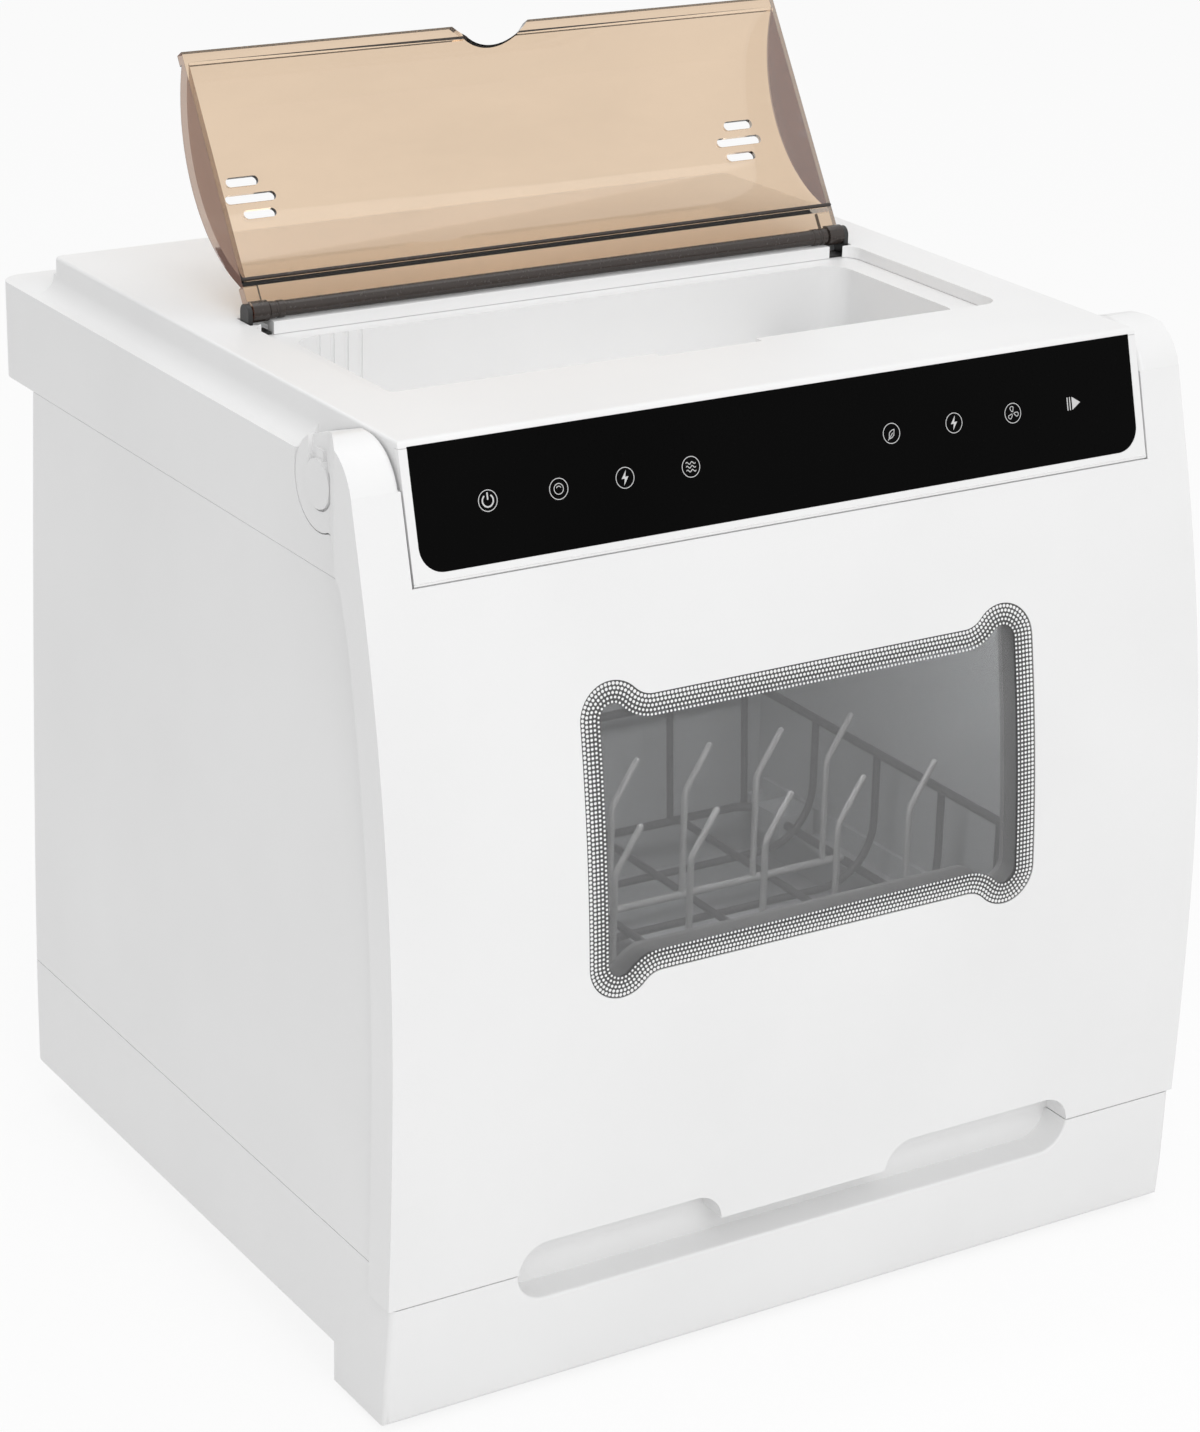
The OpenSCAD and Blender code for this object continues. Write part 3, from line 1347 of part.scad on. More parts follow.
// Impeller wheel with vanes on a shaft along X, with its magnet rotor
module rotor(x0, y, z, wheel_r, shaft_l, magnet_r, magnet_l, vanes) {
    rod_x(rotor_r, x0 - shaft_l, x0 + 8, y, z);
    rod_x(wheel_r, x0, x0 + 2, y, z);
    for (a = [0:360 / vanes:359]) translate([x0, y, z]) rotate([a, 0, 0])
        block([1, 1, -0.8], [9, wheel_r - 1, 0.8]);
    rod_x(magnet_r, x0 - shaft_l, x0 - shaft_l + magnet_l, y, z);
}

module wash_impeller() color("gold") place()
    rotor(pump_x1 - 18, hub_y, pump_z, pump_r - 6, 60, pump_r - 12, 38, 6);

drain_x = sump_x + sump_r + drain_r + 6;
drain_z = 47;
drain_out_x = drain_x + drain_r + 4;

module drain_pump() color("dimgray") place() difference() {
    union() {
        rod_y(drain_r, hub_y - 10, hub_y + 14, drain_x, drain_z);
        rod_y(drain_r - 4, hub_y + 13, hub_y + 62, drain_x, drain_z);
        rod_x(stub_r, sump_x + sump_r + 0.2, drain_x - 6, hub_y, stub_z);
        rod_x(hose_r, drain_x, drain_out_x, hub_y, drain_z);
        block([drain_x - 10, hub_y - 6, under_h + wall], [drain_x + 10, hub_y + 50, drain_z - 8]);
    }
    rod_y(drain_r - 3, hub_y - 7, hub_y + 11, drain_x, drain_z);
    rod_y(drain_r - 7, hub_y + 14, hub_y + 59, drain_x, drain_z);
    rod_y(rotor_r + run_gap, hub_y + 10, hub_y + 15, drain_x, drain_z);
    rod_x(stub_r - 2, sump_x + sump_r - 1, drain_x - 10, hub_y, stub_z);
    rod_x(hose_r - 2, drain_x + 8, drain_out_x + eps, hub_y, drain_z);
}

module drain_impeller() color("gold") place()
    translate([drain_x, hub_y, drain_z]) rotate([0, 0, -90]) translate([-drain_x, -hub_y, -drain_z])
        rotor(drain_x - 5, hub_y, drain_z, drain_r - 5, 44, drain_r - 9, 32, 4);

// Hose through a list of points
module hose(points) {
    for (i = [0:len(points) - 2]) let (a = points[i], b = points[i + 1], d = b - a) {
        translate(a) rotate([0, acos(d[2] / norm(d)), atan2(d[1], d[0])])
            cylinder(r = hose_r, h = norm(d), $fn = 32);
        if (i > 0) translate(a) sphere(r = hose_r, $fn = 32);
    }
}

module pump_hose() color("dimgray") place() {
    side = tub_half + tub_wall + hose_r + 4;
    back = hub_y + pump_r + 20;
    top = tub_z1 + tub_wall + 5 + hose_r;
    hose([
        [pump_x1 - 14, hub_y + pump_r + 8, pump_z], [pump_x1 - 14, back, pump_z], [-side, back, pump_z],
        [-side, back, top], [hub_x, back, top], [hub_x, hub_y, top]
    ]);
    rod_z(post_bore - 1, tub_z1 + tub_wall + 5, top, hub_x, hub_y);
}

module drain_hose() color("dimgray") place() {
    side = drain_out_x + hose_r + 3;
    turn_y = case_d - wall - 30;
    hose([
        [drain_out_x, hub_y, drain_z], [side, hub_y, drain_z], [side, turn_y, drain_z],
        [side, turn_y, drain_port_z], [drain_port_x, turn_y, drain_port_z],
        [drain_port_x, case_d - wall - 12, drain_port_z]
    ]);
}

module drain_outlet() color("gray") place() difference() {
    union() {
        rod_y(drain_port_r, case_d - wall - 12, case_d, drain_port_x, drain_port_z);
        rod_y(drain_port_r + 4, case_d - wall - 3, case_d - wall, drain_port_x, drain_port_z);
        rod_y(drain_port_r - 2, case_d, case_d + 11, drain_port_x, drain_port_z);
        rod_y(drain_port_r - 2.8, case_d + 10, case_d + 14, drain_port_x, drain_port_z);
        rod_y(drain_port_r - 2, case_d + 13, case_d + 16, drain_port_x, drain_port_z);
    }
    rod_y(drain_port_r - 5, case_d - wall - 13, case_d + 17, drain_port_x, drain_port_z);
}

module inlet_fitting() color("gray") place() difference() {
    y = tank_y0 + tank_d / 2;
    union() {
        rod_y(inlet_port_r, y, case_d, inlet_port_x, inlet_port_z);
        rod_y(inlet_port_r + 4, case_d - wall - 3, case_d - wall, inlet_port_x, inlet_port_z);
        rod_y(inlet_port_r - 1, case_d, case_d + 14, inlet_port_x, inlet_port_z);
        for (i = [0:3]) let (y0 = case_d + 4 + i * 2.6)
            rod_y(inlet_port_r, y0, y0 + 1.4, inlet_port_x, inlet_port_z);
        rod_z(hose_r, inlet_port_z, tank_z0, inlet_port_x, y);
    }
    rod_y(inlet_port_r - 4, y, case_d + 15, inlet_port_x, inlet_port_z);
    rod_z(hose_r - 3, inlet_port_z, tank_z0 + eps, inlet_port_x, y);
}

// ---------------------------------------------------------------- drying fan and electrics

fan_y0 = case_d - wall - 32;

module fan_housing() color("gray") place() difference() {
    union() {
        rod_y(fan_r, fan_y0, case_d - wall, fan_x, fan_z);
        rod_y(duct_r, tub_back, fan_y0 + 1, fan_x, fan_z);
        rod_y(duct_r + 4, tub_back, tub_back + 2, fan_x, fan_z);
    }
    rod_y(fan_r - 2, fan_y0 + 2, case_d, fan_x, fan_z);
    difference() {
        rod_y(duct_r - 2, tub_back - eps, fan_y0 + 3, fan_x, fan_z);
        rod_y(rotor_r + 2, fan_y0 - 4, fan_y0 + 4, fan_x, fan_z);
        block([fan_x - 1.5, fan_y0 - 4, fan_z - duct_r], [fan_x + 1.5, fan_y0, fan_z + duct_r]);
    }
    rod_y(2 + run_gap, fan_y0 - 3, fan_y0 + 5, fan_x, fan_z);
}

module fan_wheel() color("black") place() {
    rod_y(2, fan_y0 - 2.6, fan_y0 + 6, fan_x, fan_z);
    rod_y(9, fan_y0 + 5, fan_y0 + 22, fan_x, fan_z);
    for (a = [0:40:320]) translate([fan_x, fan_y0 + 13, fan_z]) rotate([0, a, 0])
        rotate([0, 0, 35]) block([-0.7, -8, 7], [0.7, 8, fan_r - 6]);
}

module power_inlet() color("black") place() difference() {
    union() {
        rod_y(power_port_r, case_d - wall - 8, case_d + 2, power_port_x, power_port_z);
        rod_y(power_port_r + 3, case_d, case_d + 3, power_port_x, power_port_z);
        rod_y(power_port_r + 3, case_d - wall - 3, case_d - wall, power_port_x, power_port_z);
    }
    rod_y(3.6, case_d - wall - 9, case_d + 4, power_port_x, power_port_z);
}

module power_board() color("darkgreen") place() {
    x0 = 26 - body_w / 2;
    y0 = 222;
    z = under_h + wall + 6;
    for (x = [x0 + 6, x0 + 60], y = [y0 + 6, y0 + 84]) rod_z(3, under_h + wall, z, x, y);
    block([x0, y0, z], [x0 + 66, y0 + 90, z + 1.6]);
    block([x0 + 8, y0 + 14, z + 1.6], [x0 + 38, y0 + 44, z + 22]);
    block([x0 + 8, y0 + 56, z + 1.6], [x0 + 26, y0 + 76, z + 16]);
    for (i = [0:2]) rod_z(5, z + 1.6, z + 20, x0 + 50, y0 + 20 + 16 * i);
}

base_tray();
lower_casing();
rear_panel();
top_housing();
control_fascia();
touch_panel();
control_board();
fill_hopper();
hopper_strainer();
lid_shell();
lid_pins();
front_frame();
door_seal();
door_shell();
door_liner();
door_window();
window_border();
window_gasket();
pivot_pins();
pivot_caps();
catch_plates();
catch_magnets();
liner_screws();
tub();
tub_brackets();
sump();
filter_cup();
filter_mesh();
heater();
spray_post();
lower_spray_arm();
upper_spray_post();
upper_spray_arm();
rack_frame();
rack_rail();
rack_sides();
rack_tines();
rack_shoes();
rack_runners();
water_tank();
tank_float();
wash_pump();
wash_impeller();
drain_pump();
drain_impeller();
pump_hose();
drain_hose();
tank_hose();
drain_outlet();
inlet_fitting();
fan_housing();
fan_wheel();
chamber_lamp();
power_inlet();
power_board();
rubber_feet();
foot_screws();
casing_screws();
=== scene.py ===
"""Looks of the countertop dishwasher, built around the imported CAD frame."""
import json
import math

import bmesh
import bpy
from mathutils import Matrix, Vector


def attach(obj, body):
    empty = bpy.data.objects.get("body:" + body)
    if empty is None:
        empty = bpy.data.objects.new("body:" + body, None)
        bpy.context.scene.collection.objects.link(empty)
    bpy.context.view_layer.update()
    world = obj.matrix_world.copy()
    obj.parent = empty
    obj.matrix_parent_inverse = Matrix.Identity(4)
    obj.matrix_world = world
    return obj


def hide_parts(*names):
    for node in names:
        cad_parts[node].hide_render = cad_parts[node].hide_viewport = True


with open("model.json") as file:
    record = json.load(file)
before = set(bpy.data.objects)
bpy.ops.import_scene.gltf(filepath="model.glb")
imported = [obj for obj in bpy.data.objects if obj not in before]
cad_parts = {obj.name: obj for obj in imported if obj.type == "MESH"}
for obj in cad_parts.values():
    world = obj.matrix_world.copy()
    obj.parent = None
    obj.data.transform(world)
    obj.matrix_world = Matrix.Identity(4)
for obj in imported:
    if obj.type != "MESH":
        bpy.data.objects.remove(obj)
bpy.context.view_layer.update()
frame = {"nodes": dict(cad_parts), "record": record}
NODES = frame["nodes"]
scene = bpy.context.scene
scene.view_settings.view_transform = "Standard"

# ---------------------------------------------------------------- sizes, as in the part's source, in mm
# the source's y that lies in the middle of the frame
MID = 198.5
# body: width and draft of its sides, depth, overhang at the rear, and wall corners with the room round them
BODY_W, DRAFT, CASE_D, OVERHANG, CORNER_ROOM = 420, 12.4, 365, 38, 13
# heights: underside, plinth, tray, seam, ledge and deck, and half the deck's width
GAP_Z, PLINTH_TOP, TRAY_TOP, SEAM, LEDGE, DECK, DECK_HALF = 3, 60, 74, 361, 407, 424.5, 185.4
# front: bulge and its height, radius above it, and lean of the sloped panel
BULGE, BULGE_H, UPPER_R, LEAN = 6, 158, 830, math.radians(14.7)
# door: thickness, gap behind it, and its pivots
DOOR_D, DOOR_GAP, PIV_Y, PIV_Z = 18, 0.6, 79, 397
# derived
SEAM_HALF = BODY_W / 2 - DRAFT
BACK_Y = CASE_D + OVERHANG
LOWER_R = ((BULGE_H - GAP_Z) ** 2 + BULGE ** 2) / (2 * BULGE)
LEAN_Z = BULGE_H + UPPER_R * math.sin(LEAN)
LEAN_Y = -BULGE + UPPER_R * (1 - math.cos(LEAN))


def front_y(z):
    """Distance of the front surface behind the plinth's lower edge."""
    if z < BULGE_H:
        return -BULGE + LOWER_R - math.sqrt(LOWER_R ** 2 - (z - BULGE_H) ** 2)
    if z < LEAN_Z:
        return -BULGE + UPPER_R - math.sqrt(UPPER_R ** 2 - (z - BULGE_H) ** 2)
    return LEAN_Y + (z - LEAN_Z) * math.tan(LEAN)


def front_tilt(z):
    """Angle by which the front surface leans back at a height."""
    if z < BULGE_H:
        return math.asin((z - BULGE_H) / LOWER_R)
    return min(math.asin((z - BULGE_H) / UPPER_R), LEAN)


def mm(x, y, z):
    """A point of the source, in metres of the frame."""
    return (x / 1000, (y - MID) / 1000, z / 1000)


def front(x, z, out=0.0):
    """A point on the front surface, or that far out from it."""
    t = front_tilt(z)
    return mm(x, front_y(z) - out * math.cos(t), z + out * math.sin(t))


def slope(x, up, out=0.0):
    """A point of the sloped panel: x across, a length up the slope and out of it."""
    return mm(x, LEAN_Y + up * math.sin(LEAN) - out * math.cos(LEAN),
              LEAN_Z + up * math.cos(LEAN) + out * math.sin(LEAN))


# ---------------------------------------------------------------- camera, light and floor
# the camera solved from the photograph: its frame and focal length in pixels, the point it looks at in
# them, its place in metres and its turn in radians
FRAME_W, FRAME_H, FOCAL, CENTRE_U, CENTRE_V = 1200, 1432, 3755.269, 603.415, 716.142
CAMERA_AT, YAW, PITCH, ROLL = (-0.866907, -1.401814, 0.860463), 0.562, 0.371, 0.024
# strength of the world's soft light, and how white the floor is where the camera sees it
WORLD_LIGHT, FLOOR_WHITE, FLOOR_PAPER = 0.68, 0.88, 0.86
# name, place, aim, size in metres and watts of each lamp
LAMPS = (
    ("key", (-0.5, -2.4, 1.8), (0, 0, 0.25), (1.6, 1.2), 22),
    ("top", (0.2, 0.1, 2.4), (0, 0, 0.3), (1.8, 1.8), 10),
    ("left", (-2.4, -0.3, 1.1), (0, 0, 0.25), (1.2, 1.4), 1.2),
    ("chamber", mm(0, 60, 338), mm(0, 170, 120), (0.24, 0.05), 1.0),
)


def set_camera():
    cam = bpy.data.cameras.new("camera")
    cam.sensor_fit = "AUTO"
    cam.sensor_width = 36
    cam.lens = FOCAL * cam.sensor_width / FRAME_H
    cam.shift_x = (FRAME_W / 2 - CENTRE_U) / FRAME_H
    cam.shift_y = (CENTRE_V - FRAME_H / 2) / FRAME_H
    cam.clip_end = 20
    ahead = Vector((math.sin(YAW), math.cos(YAW), 0))
    level = Vector((math.cos(YAW), -math.sin(YAW), 0))
    look = ahead * math.cos(PITCH) - Vector((0, 0, math.sin(PITCH)))
    lift = ahead * math.sin(PITCH) + Vector((0, 0, math.cos(PITCH)))
    right = level * math.cos(ROLL) + lift * math.sin(ROLL)
    up = -level * math.sin(ROLL) + lift * math.cos(ROLL)
    obj = bpy.data.objects.new("camera", cam)
    scene.collection.objects.link(obj)
    place = Matrix((right, up, -look)).transposed().to_4x4()
    place.translation = Vector(CAMERA_AT)
    obj.matrix_world = place
    scene.camera = obj


def area_light(name, at, to, size, watts):
    light = bpy.data.lights.new(name, "AREA")
    light.shape = "RECTANGLE"
    light.size, light.size_y = size
    light.energy = watts
    obj = bpy.data.objects.new(name, light)
    scene.collection.objects.link(obj)
    obj.location = at
    obj.rotation_euler = (Vector(to) - Vector(at)).to_track_quat("-Z", "Y").to_euler()


def seen_directly(nodes, links):
    """1 for rays from the camera, from gloss and through glass."""
    path = nodes.new("ShaderNodeLightPath")
    total = path.outputs["Is Camera Ray"]
    for name in ("Is Glossy Ray", "Is Transmission Ray"):
        add = nodes.new("ShaderNodeMath")
        add.operation = "MAXIMUM"
        links.new(total, add.inputs[0])
        links.new(path.outputs[name], add.inputs[1])
        total = add.outputs[0]
    return total


def mix_shaders(nodes, links, share, first, second, out):
    """Sends two shaders, mixed by a share, to the output."""
    mix = nodes.new("ShaderNodeMixShader")
    links.new(share, mix.inputs[0])
    links.new(first.outputs[0], mix.inputs[1])
    links.new(second.outputs[0], mix.inputs[2])
    links.new(mix.outputs[0], out.inputs[0])


def set_world():
    """Soft light from all round, on a background that is seen as white."""
    world = bpy.data.worlds.new("studio")
    world.use_nodes = True
    scene.world = world
    nodes, links = world.node_tree.nodes, world.node_tree.links
    nodes.clear()
    out = nodes.new("ShaderNodeOutputWorld")
    soft, white = (nodes.new("ShaderNodeBackground") for _ in range(2))
    for shade, strength in ((soft, WORLD_LIGHT), (white, 1)):
        shade.inputs["Color"].default_value = (1, 1, 1, 1)
        shade.inputs["Strength"].default_value = strength
    mix_shaders(nodes, links, seen_directly(nodes, links), soft, white, out)


def set_floor():
    """Plain pale floor that keeps the object's shadow and is nearly white to the camera."""
    mesh = bpy.data.meshes.new("floor")
    bm = bmesh.new()
    bmesh.ops.create_grid(bm, x_segments=24, y_segments=24, size=6)
    bm.to_mesh(mesh)
    bm.free()
    floor = bpy.data.objects.new("floor", mesh)
    scene.collection.objects.link(floor)
    mat = bpy.data.materials.new("floor")
    mat.use_nodes = True
    nodes, links = mat.node_tree.nodes, mat.node_tree.links
    nodes.clear()
    out = nodes.new("ShaderNodeOutputMaterial")
    paper = nodes.new("ShaderNodeBsdfDiffuse")
    paper.inputs["Color"].default_value = (FLOOR_PAPER, FLOOR_PAPER, FLOOR_PAPER, 1)
    lit = nodes.new("ShaderNodeEmission")
    lit.inputs["Color"].default_value = (1, 1, 1, 1)
    share = nodes.new("ShaderNodeMath")
    share.operation = "MULTIPLY"
    share.inputs[1].default_value = FLOOR_WHITE
    links.new(seen_directly(nodes, links), share.inputs[0])
    mix_shaders(nodes, links, share.outputs[0], paper, lit, out)
    mesh.materials.append(mat)


set_camera()
set_world()
set_floor()
for lamp in LAMPS:
    area_light(*lamp)


# ---------------------------------------------------------------- materials
def shader(name, rgb, rough, alpha=1.0, metallic=0.0, spec=0.5, transmission=0.0, ior=1.5):
    """A new material with its main numbers set, its nodes and links, and its shader."""
    mat = bpy.data.materials.new(name)
    mat.use_nodes = True
    nodes, links = mat.node_tree.nodes, mat.node_tree.links
    bsdf = nodes["Principled BSDF"]
    bsdf.inputs["Base Color"].default_value = (*rgb, 1)
    bsdf.inputs["Roughness"].default_value = rough
    bsdf.inputs["Metallic"].default_value = metallic
    bsdf.inputs["Specular IOR Level"].default_value = spec
    bsdf.inputs["IOR"].default_value = ior
    bsdf.inputs["Alpha"].default_value = alpha
    bsdf.inputs["Transmission Weight"].default_value = transmission
    return mat, nodes, links, bsdf


def noise(nodes, links, scale, detail=2.0, rough=0.5, stretch=None):
    """Noise over the object's own coordinates, in features per metre."""
    tex = nodes.new("ShaderNodeTexNoise")
    tex.inputs["Scale"].default_value = scale
    tex.inputs["Detail"].default_value = detail
    tex.inputs["Roughness"].default_value = rough
    place = nodes.new("ShaderNodeTexCoord").outputs["Object"]
    if stretch:
        mapping = nodes.new("ShaderNodeMapping")
        mapping.inputs["Scale"].default_value = stretch
        links.new(place, mapping.inputs["Vector"])
        place = mapping.outputs[0]
    links.new(place, tex.inputs["Vector"])
    return tex.outputs["Fac"]


def spread(nodes, links, value, low, high):
    """Maps the middle of a noise's range onto a range."""
    node = nodes.new("ShaderNodeMapRange")
    node.inputs["From Min"].default_value = 0.3
    node.inputs["From Max"].default_value = 0.7
    node.inputs["To Min"].default_value = low
    node.inputs["To Max"].default_value = high
    links.new(value, node.inputs["Value"])
    return node.outputs[0]


def tint(nodes, links, bsdf, value, dark, light):
    """Base colour that varies between two tones with a noise."""
    mix = nodes.new("ShaderNodeMix")
    mix.data_type = "RGBA"
    mix.inputs["A"].default_value = (*dark, 1)
    mix.inputs["B"].default_value = (*light, 1)
    links.new(spread(nodes, links, value, 0, 1), mix.inputs["Factor"])
    links.new(mix.outputs["Result"], bsdf.inputs["Base Color"])


def roughen(nodes, links, bsdf, value, low, high):
    """Roughness that varies with a noise."""
    links.new(spread(nodes, links, value, low, high), bsdf.inputs["Roughness"])


def bump(nodes, links, bsdf, height, depth, strength=1.0, before=None):
    """Bump of a height field, in metres of depth."""
    node = nodes.new("ShaderNodeBump")
    node.inputs["Strength"].default_value = strength
    node.inputs["Distance"].default_value = depth
    links.new(height, node.inputs["Height"])
    if before is not None:
        links.new(before, node.inputs["Normal"])
    links.new(node.outputs[0], bsdf.inputs["Normal"])
    return node.outputs[0]


def moulded(name, rgb, rough, grain=1400, depth=0.00003, vary=0.012, **more):
    """Moulded plastic: a fine spark-eroded grain, slow waves of the mould and a slight change of tone."""
    mat, nodes, links, bsdf = shader(name, rgb, rough, **more)
    slow = noise(nodes, links, scale=9, detail=3)
    fine = noise(nodes, links, scale=grain, rough=0.6)
    tint(nodes, links, bsdf, slow, [max(0, c * (1 - vary * 2)) for c in rgb],
         [min(1, c * (1 + vary)) for c in rgb])
    roughen(nodes, links, bsdf, fine, rough - 0.05, rough + 0.05)
    wave = bump(nodes, links, bsdf, slow, 0.0006, 0.25)
    bump(nodes, links, bsdf, fine, depth, 1.0, wave)
    return mat


def clear_plastic(name, rgb, rough, alpha, **more):
    """Thin see-through plastic sheet: tinted, with gloss and faint flow lines."""
    mat, nodes, links, bsdf = shader(name, rgb, rough, alpha=alpha, **more)
    flow = noise(nodes, links, scale=22, detail=4, rough=0.6, stretch=(0.5, 1.5, 1.5))
    tint(nodes, links, bsdf, flow, rgb, [c * 0.94 for c in rgb])
    roughen(nodes, links, bsdf, noise(nodes, links, scale=700), rough - 0.02, rough + 0.03)
    bump(nodes, links, bsdf, flow, 0.0004, 0.12)
    return mat


def metal(name, rgb, rough, stretch=(1, 1, 1)):
    """Drawn or brushed metal, with its streaks along one way."""
    mat, nodes, links, bsdf = shader(name, rgb, rough, metallic=1.0)
    streak = noise(nodes, links, scale=900, detail=3, rough=0.7, stretch=stretch)
    tint(nodes, links, bsdf, streak, [c * 0.85 for c in rgb], rgb)
    roughen(nodes, links, bsdf, streak, rough - 0.07, rough + 0.1)
    bump(nodes, links, bsdf, streak, 0.00002, 0.6)
    return mat


MAKERS = (
    (moulded, (
        ("white_shell", (0.86, 0.86, 0.86), 0.42, dict(spec=0.45)),
        ("white_inner", (0.78, 0.78, 0.78), 0.5, dict(depth=0.000008)),
        ("black_panel", (0.0018, 0.0018, 0.0018), 0.3,
         dict(grain=500, depth=0.000004, vary=0.1, spec=0.03)),
        ("border_print", (0.065, 0.065, 0.065), 0.4, {}),
        ("liner_grey", (0.20, 0.20, 0.20), 0.5, {}),
        ("dot_ink", (0.88, 0.88, 0.88), 0.4, {}),
        ("symbol_ink", (0.62, 0.62, 0.62), 0.4, {}),
        ("dark_plastic", (0.02, 0.02, 0.02), 0.42, {}),
        ("grey_plastic", (0.16, 0.16, 0.165), 0.45, {}),
        ("light_plastic", (0.42, 0.43, 0.44), 0.42, {}),
        ("rubber", (0.02, 0.02, 0.02), 0.72, dict(grain=900, depth=0.00006, spec=0.3)),
        ("grey_rubber", (0.12, 0.12, 0.12), 0.7, dict(grain=900, depth=0.00006, spec=0.3)),
        ("coated_wire", (0.05, 0.05, 0.052), 0.4, dict(grain=1800, depth=0.00002, vary=0.05)),
        ("pale_wire", (0.42, 0.42, 0.42), 0.38, dict(grain=1800, depth=0.00002, vary=0.05)),
        ("float_foam", (0.75, 0.17, 0.02), 0.8, dict(grain=500, depth=0.0002, spec=0.2)),
        ("board", (0.01, 0.08, 0.03), 0.35, dict(grain=300)),
    )),
    (clear_plastic, (
        ("smoked_lid", (0.80, 0.62, 0.455), 0.04, dict(alpha=1.0, transmission=1.0, ior=1.4)),
        ("lid_edge", (0.035, 0.026, 0.022), 0.25, dict(alpha=0.97)),
        ("lid_cheek", (0.24, 0.085, 0.045), 0.12, dict(alpha=0.6)),
        ("smoked_window", (0.17, 0.17, 0.172), 0.12, dict(alpha=0.5)),
        ("tank_plastic", (0.62, 0.68, 0.72), 0.3, dict(alpha=0.75)),
        ("lamp_lens", (0.75, 0.82, 0.95), 0.35, dict(alpha=0.7)),
    )),
    (metal, (
        ("steel", (0.62, 0.62, 0.63), 0.28, dict(stretch=(1, 1, 0.05))),
        ("brass", (0.70, 0.47, 0.20), 0.3, {}),
    )),
)
MAT = {row[0]: make(*row[:3], **row[3]) for make, rows in MAKERS for row in rows}
SLOT_OF = {part["node"]: part["material_slot"] for part in frame["record"]["subparts"]}
for node_name, node_obj in NODES.items():
    node_obj.data.materials.clear()
    node_obj.data.materials.append(MAT[SLOT_OF[node_name]])

# the liner is grey where it frames the window: half that frame's width and its heights, in metres
FRAME_HALF, FRAME_Z0, FRAME_Z1 = 0.126, 0.18, 0.325
liner = NODES["door_liner"].data
liner.materials.append(MAT["liner_grey"])
for face in liner.polygons:
    if abs(face.center.x) < FRAME_HALF and FRAME_Z0 < face.center.z < FRAME_Z1:
        face.material_index = 1


# ---------------------------------------------------------------- mesh tools
# edges that turn by less than this, in degrees, are shaded smooth
SMOOTH_TURN = 35.0


def new_piece(name, bm, body, mat, stands_for=(), weighted=True):
    """A finished piece from a bmesh in metres, with its material, body, slot and the nodes it stands for."""
    bmesh.ops.recalc_face_normals(bm, faces=bm.faces)
    for face in bm.faces:
        face.smooth = True
    for edge in bm.edges:
        edge.smooth = len(edge.link_faces) == 2 and edge.calc_face_angle(0) < math.radians(SMOOTH_TURN)
    mesh = bpy.data.meshes.new(name)
    bm.to_mesh(mesh)
    bm.free()
    obj = bpy.data.objects.new(name, mesh)
    scene.collection.objects.link(obj)
    mesh.materials.append(MAT[mat])
    if weighted:
        mod = obj.modifiers.new("normals", "WEIGHTED_NORMAL")
        mod.keep_sharp = True
        mod.weight = 50
    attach(obj, body)
    if stands_for:
        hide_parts(*stands_for)
    return obj


def cad_mesh(node, flat=0.25):
    """A copy of a node's mesh with its flat faces whole, in mm of the source's own frame."""
    bm = bmesh.new()
    bm.from_mesh(NODES[node].data)
    bmesh.ops.remove_doubles(bm, verts=bm.verts, dist=2e-6)
    bmesh.ops.dissolve_limit(bm, angle_limit=math.radians(flat), verts=bm.verts, edges=bm.edges)
    for v in bm.verts:
        v.co = Vector((v.co.x * 1000, v.co.y * 1000 + MID, v.co.z * 1000))
    return bm


def to_metres(bm):
    """Turns a mesh from the source's mm into the frame's metres."""
    for v in bm.verts:
        v.co = Vector(mm(*v.co))


def round_edges(bm, chosen, width, steps=3):
    """Rounds the sharp outer edges for which chosen(end, end) holds."""
    edges = [e for e in bm.edges if len(e.link_faces) == 2 and e.calc_face_angle(0) > math.radians(25)
             and e.is_convex and chosen(e.verts[0].co, e.verts[1].co)]
    if edges:
        bmesh.ops.bevel(bm, geom=edges, offset=width, offset_type="OFFSET", segments=steps, profile=0.5,
                        affect="EDGES", clamp_overlap=True, loop_slide=True)


def both(test, also=lambda a, b: True):
    """A test of an edge that holds where test holds at both of its ends, and also(end, end) holds."""
    return lambda a, b: test(a) and test(b) and also(a, b)


def rises(a, b):
    """Whether an edge runs up or down."""
    return abs(a.z - b.z) > 0.5


def on_front(p, near=0.35):
    """Whether a point lies on the front surface, give or take."""
    return abs(p.y - front_y(p.z)) < near


def near_front(p):
    return on_front(p, 0.6)


def at_height(z):
    return lambda p: abs(p.z - z) < 0.1


# ---------------------------------------------------------------- white shells
# door: where its side faces begin, the room kept round its pivots, and half the width inside its ears
SIDE_X, PIVOT_ROOM, EAR_HALF = 196.5, 17, DECK_HALF + 1
# how far back the ears' edges are rounded, outside and inside
EAR_OUT_Y, EAR_IN_Y = 62, 60
# openings of the front, fill opening and finger recess: the room in which their edges lie
OPENING_X, OPENING_Z0, FILL_Y0, FILL_Y1, FILL_X, GRIP_X, GRIP_Z0 = 190, 180, 97, 217, 160, 150, 44
# lower end of the door's rear edges, and rear end of the deck's front edges
REAR_Z0, DECK_FRONT_Y = 64, 60
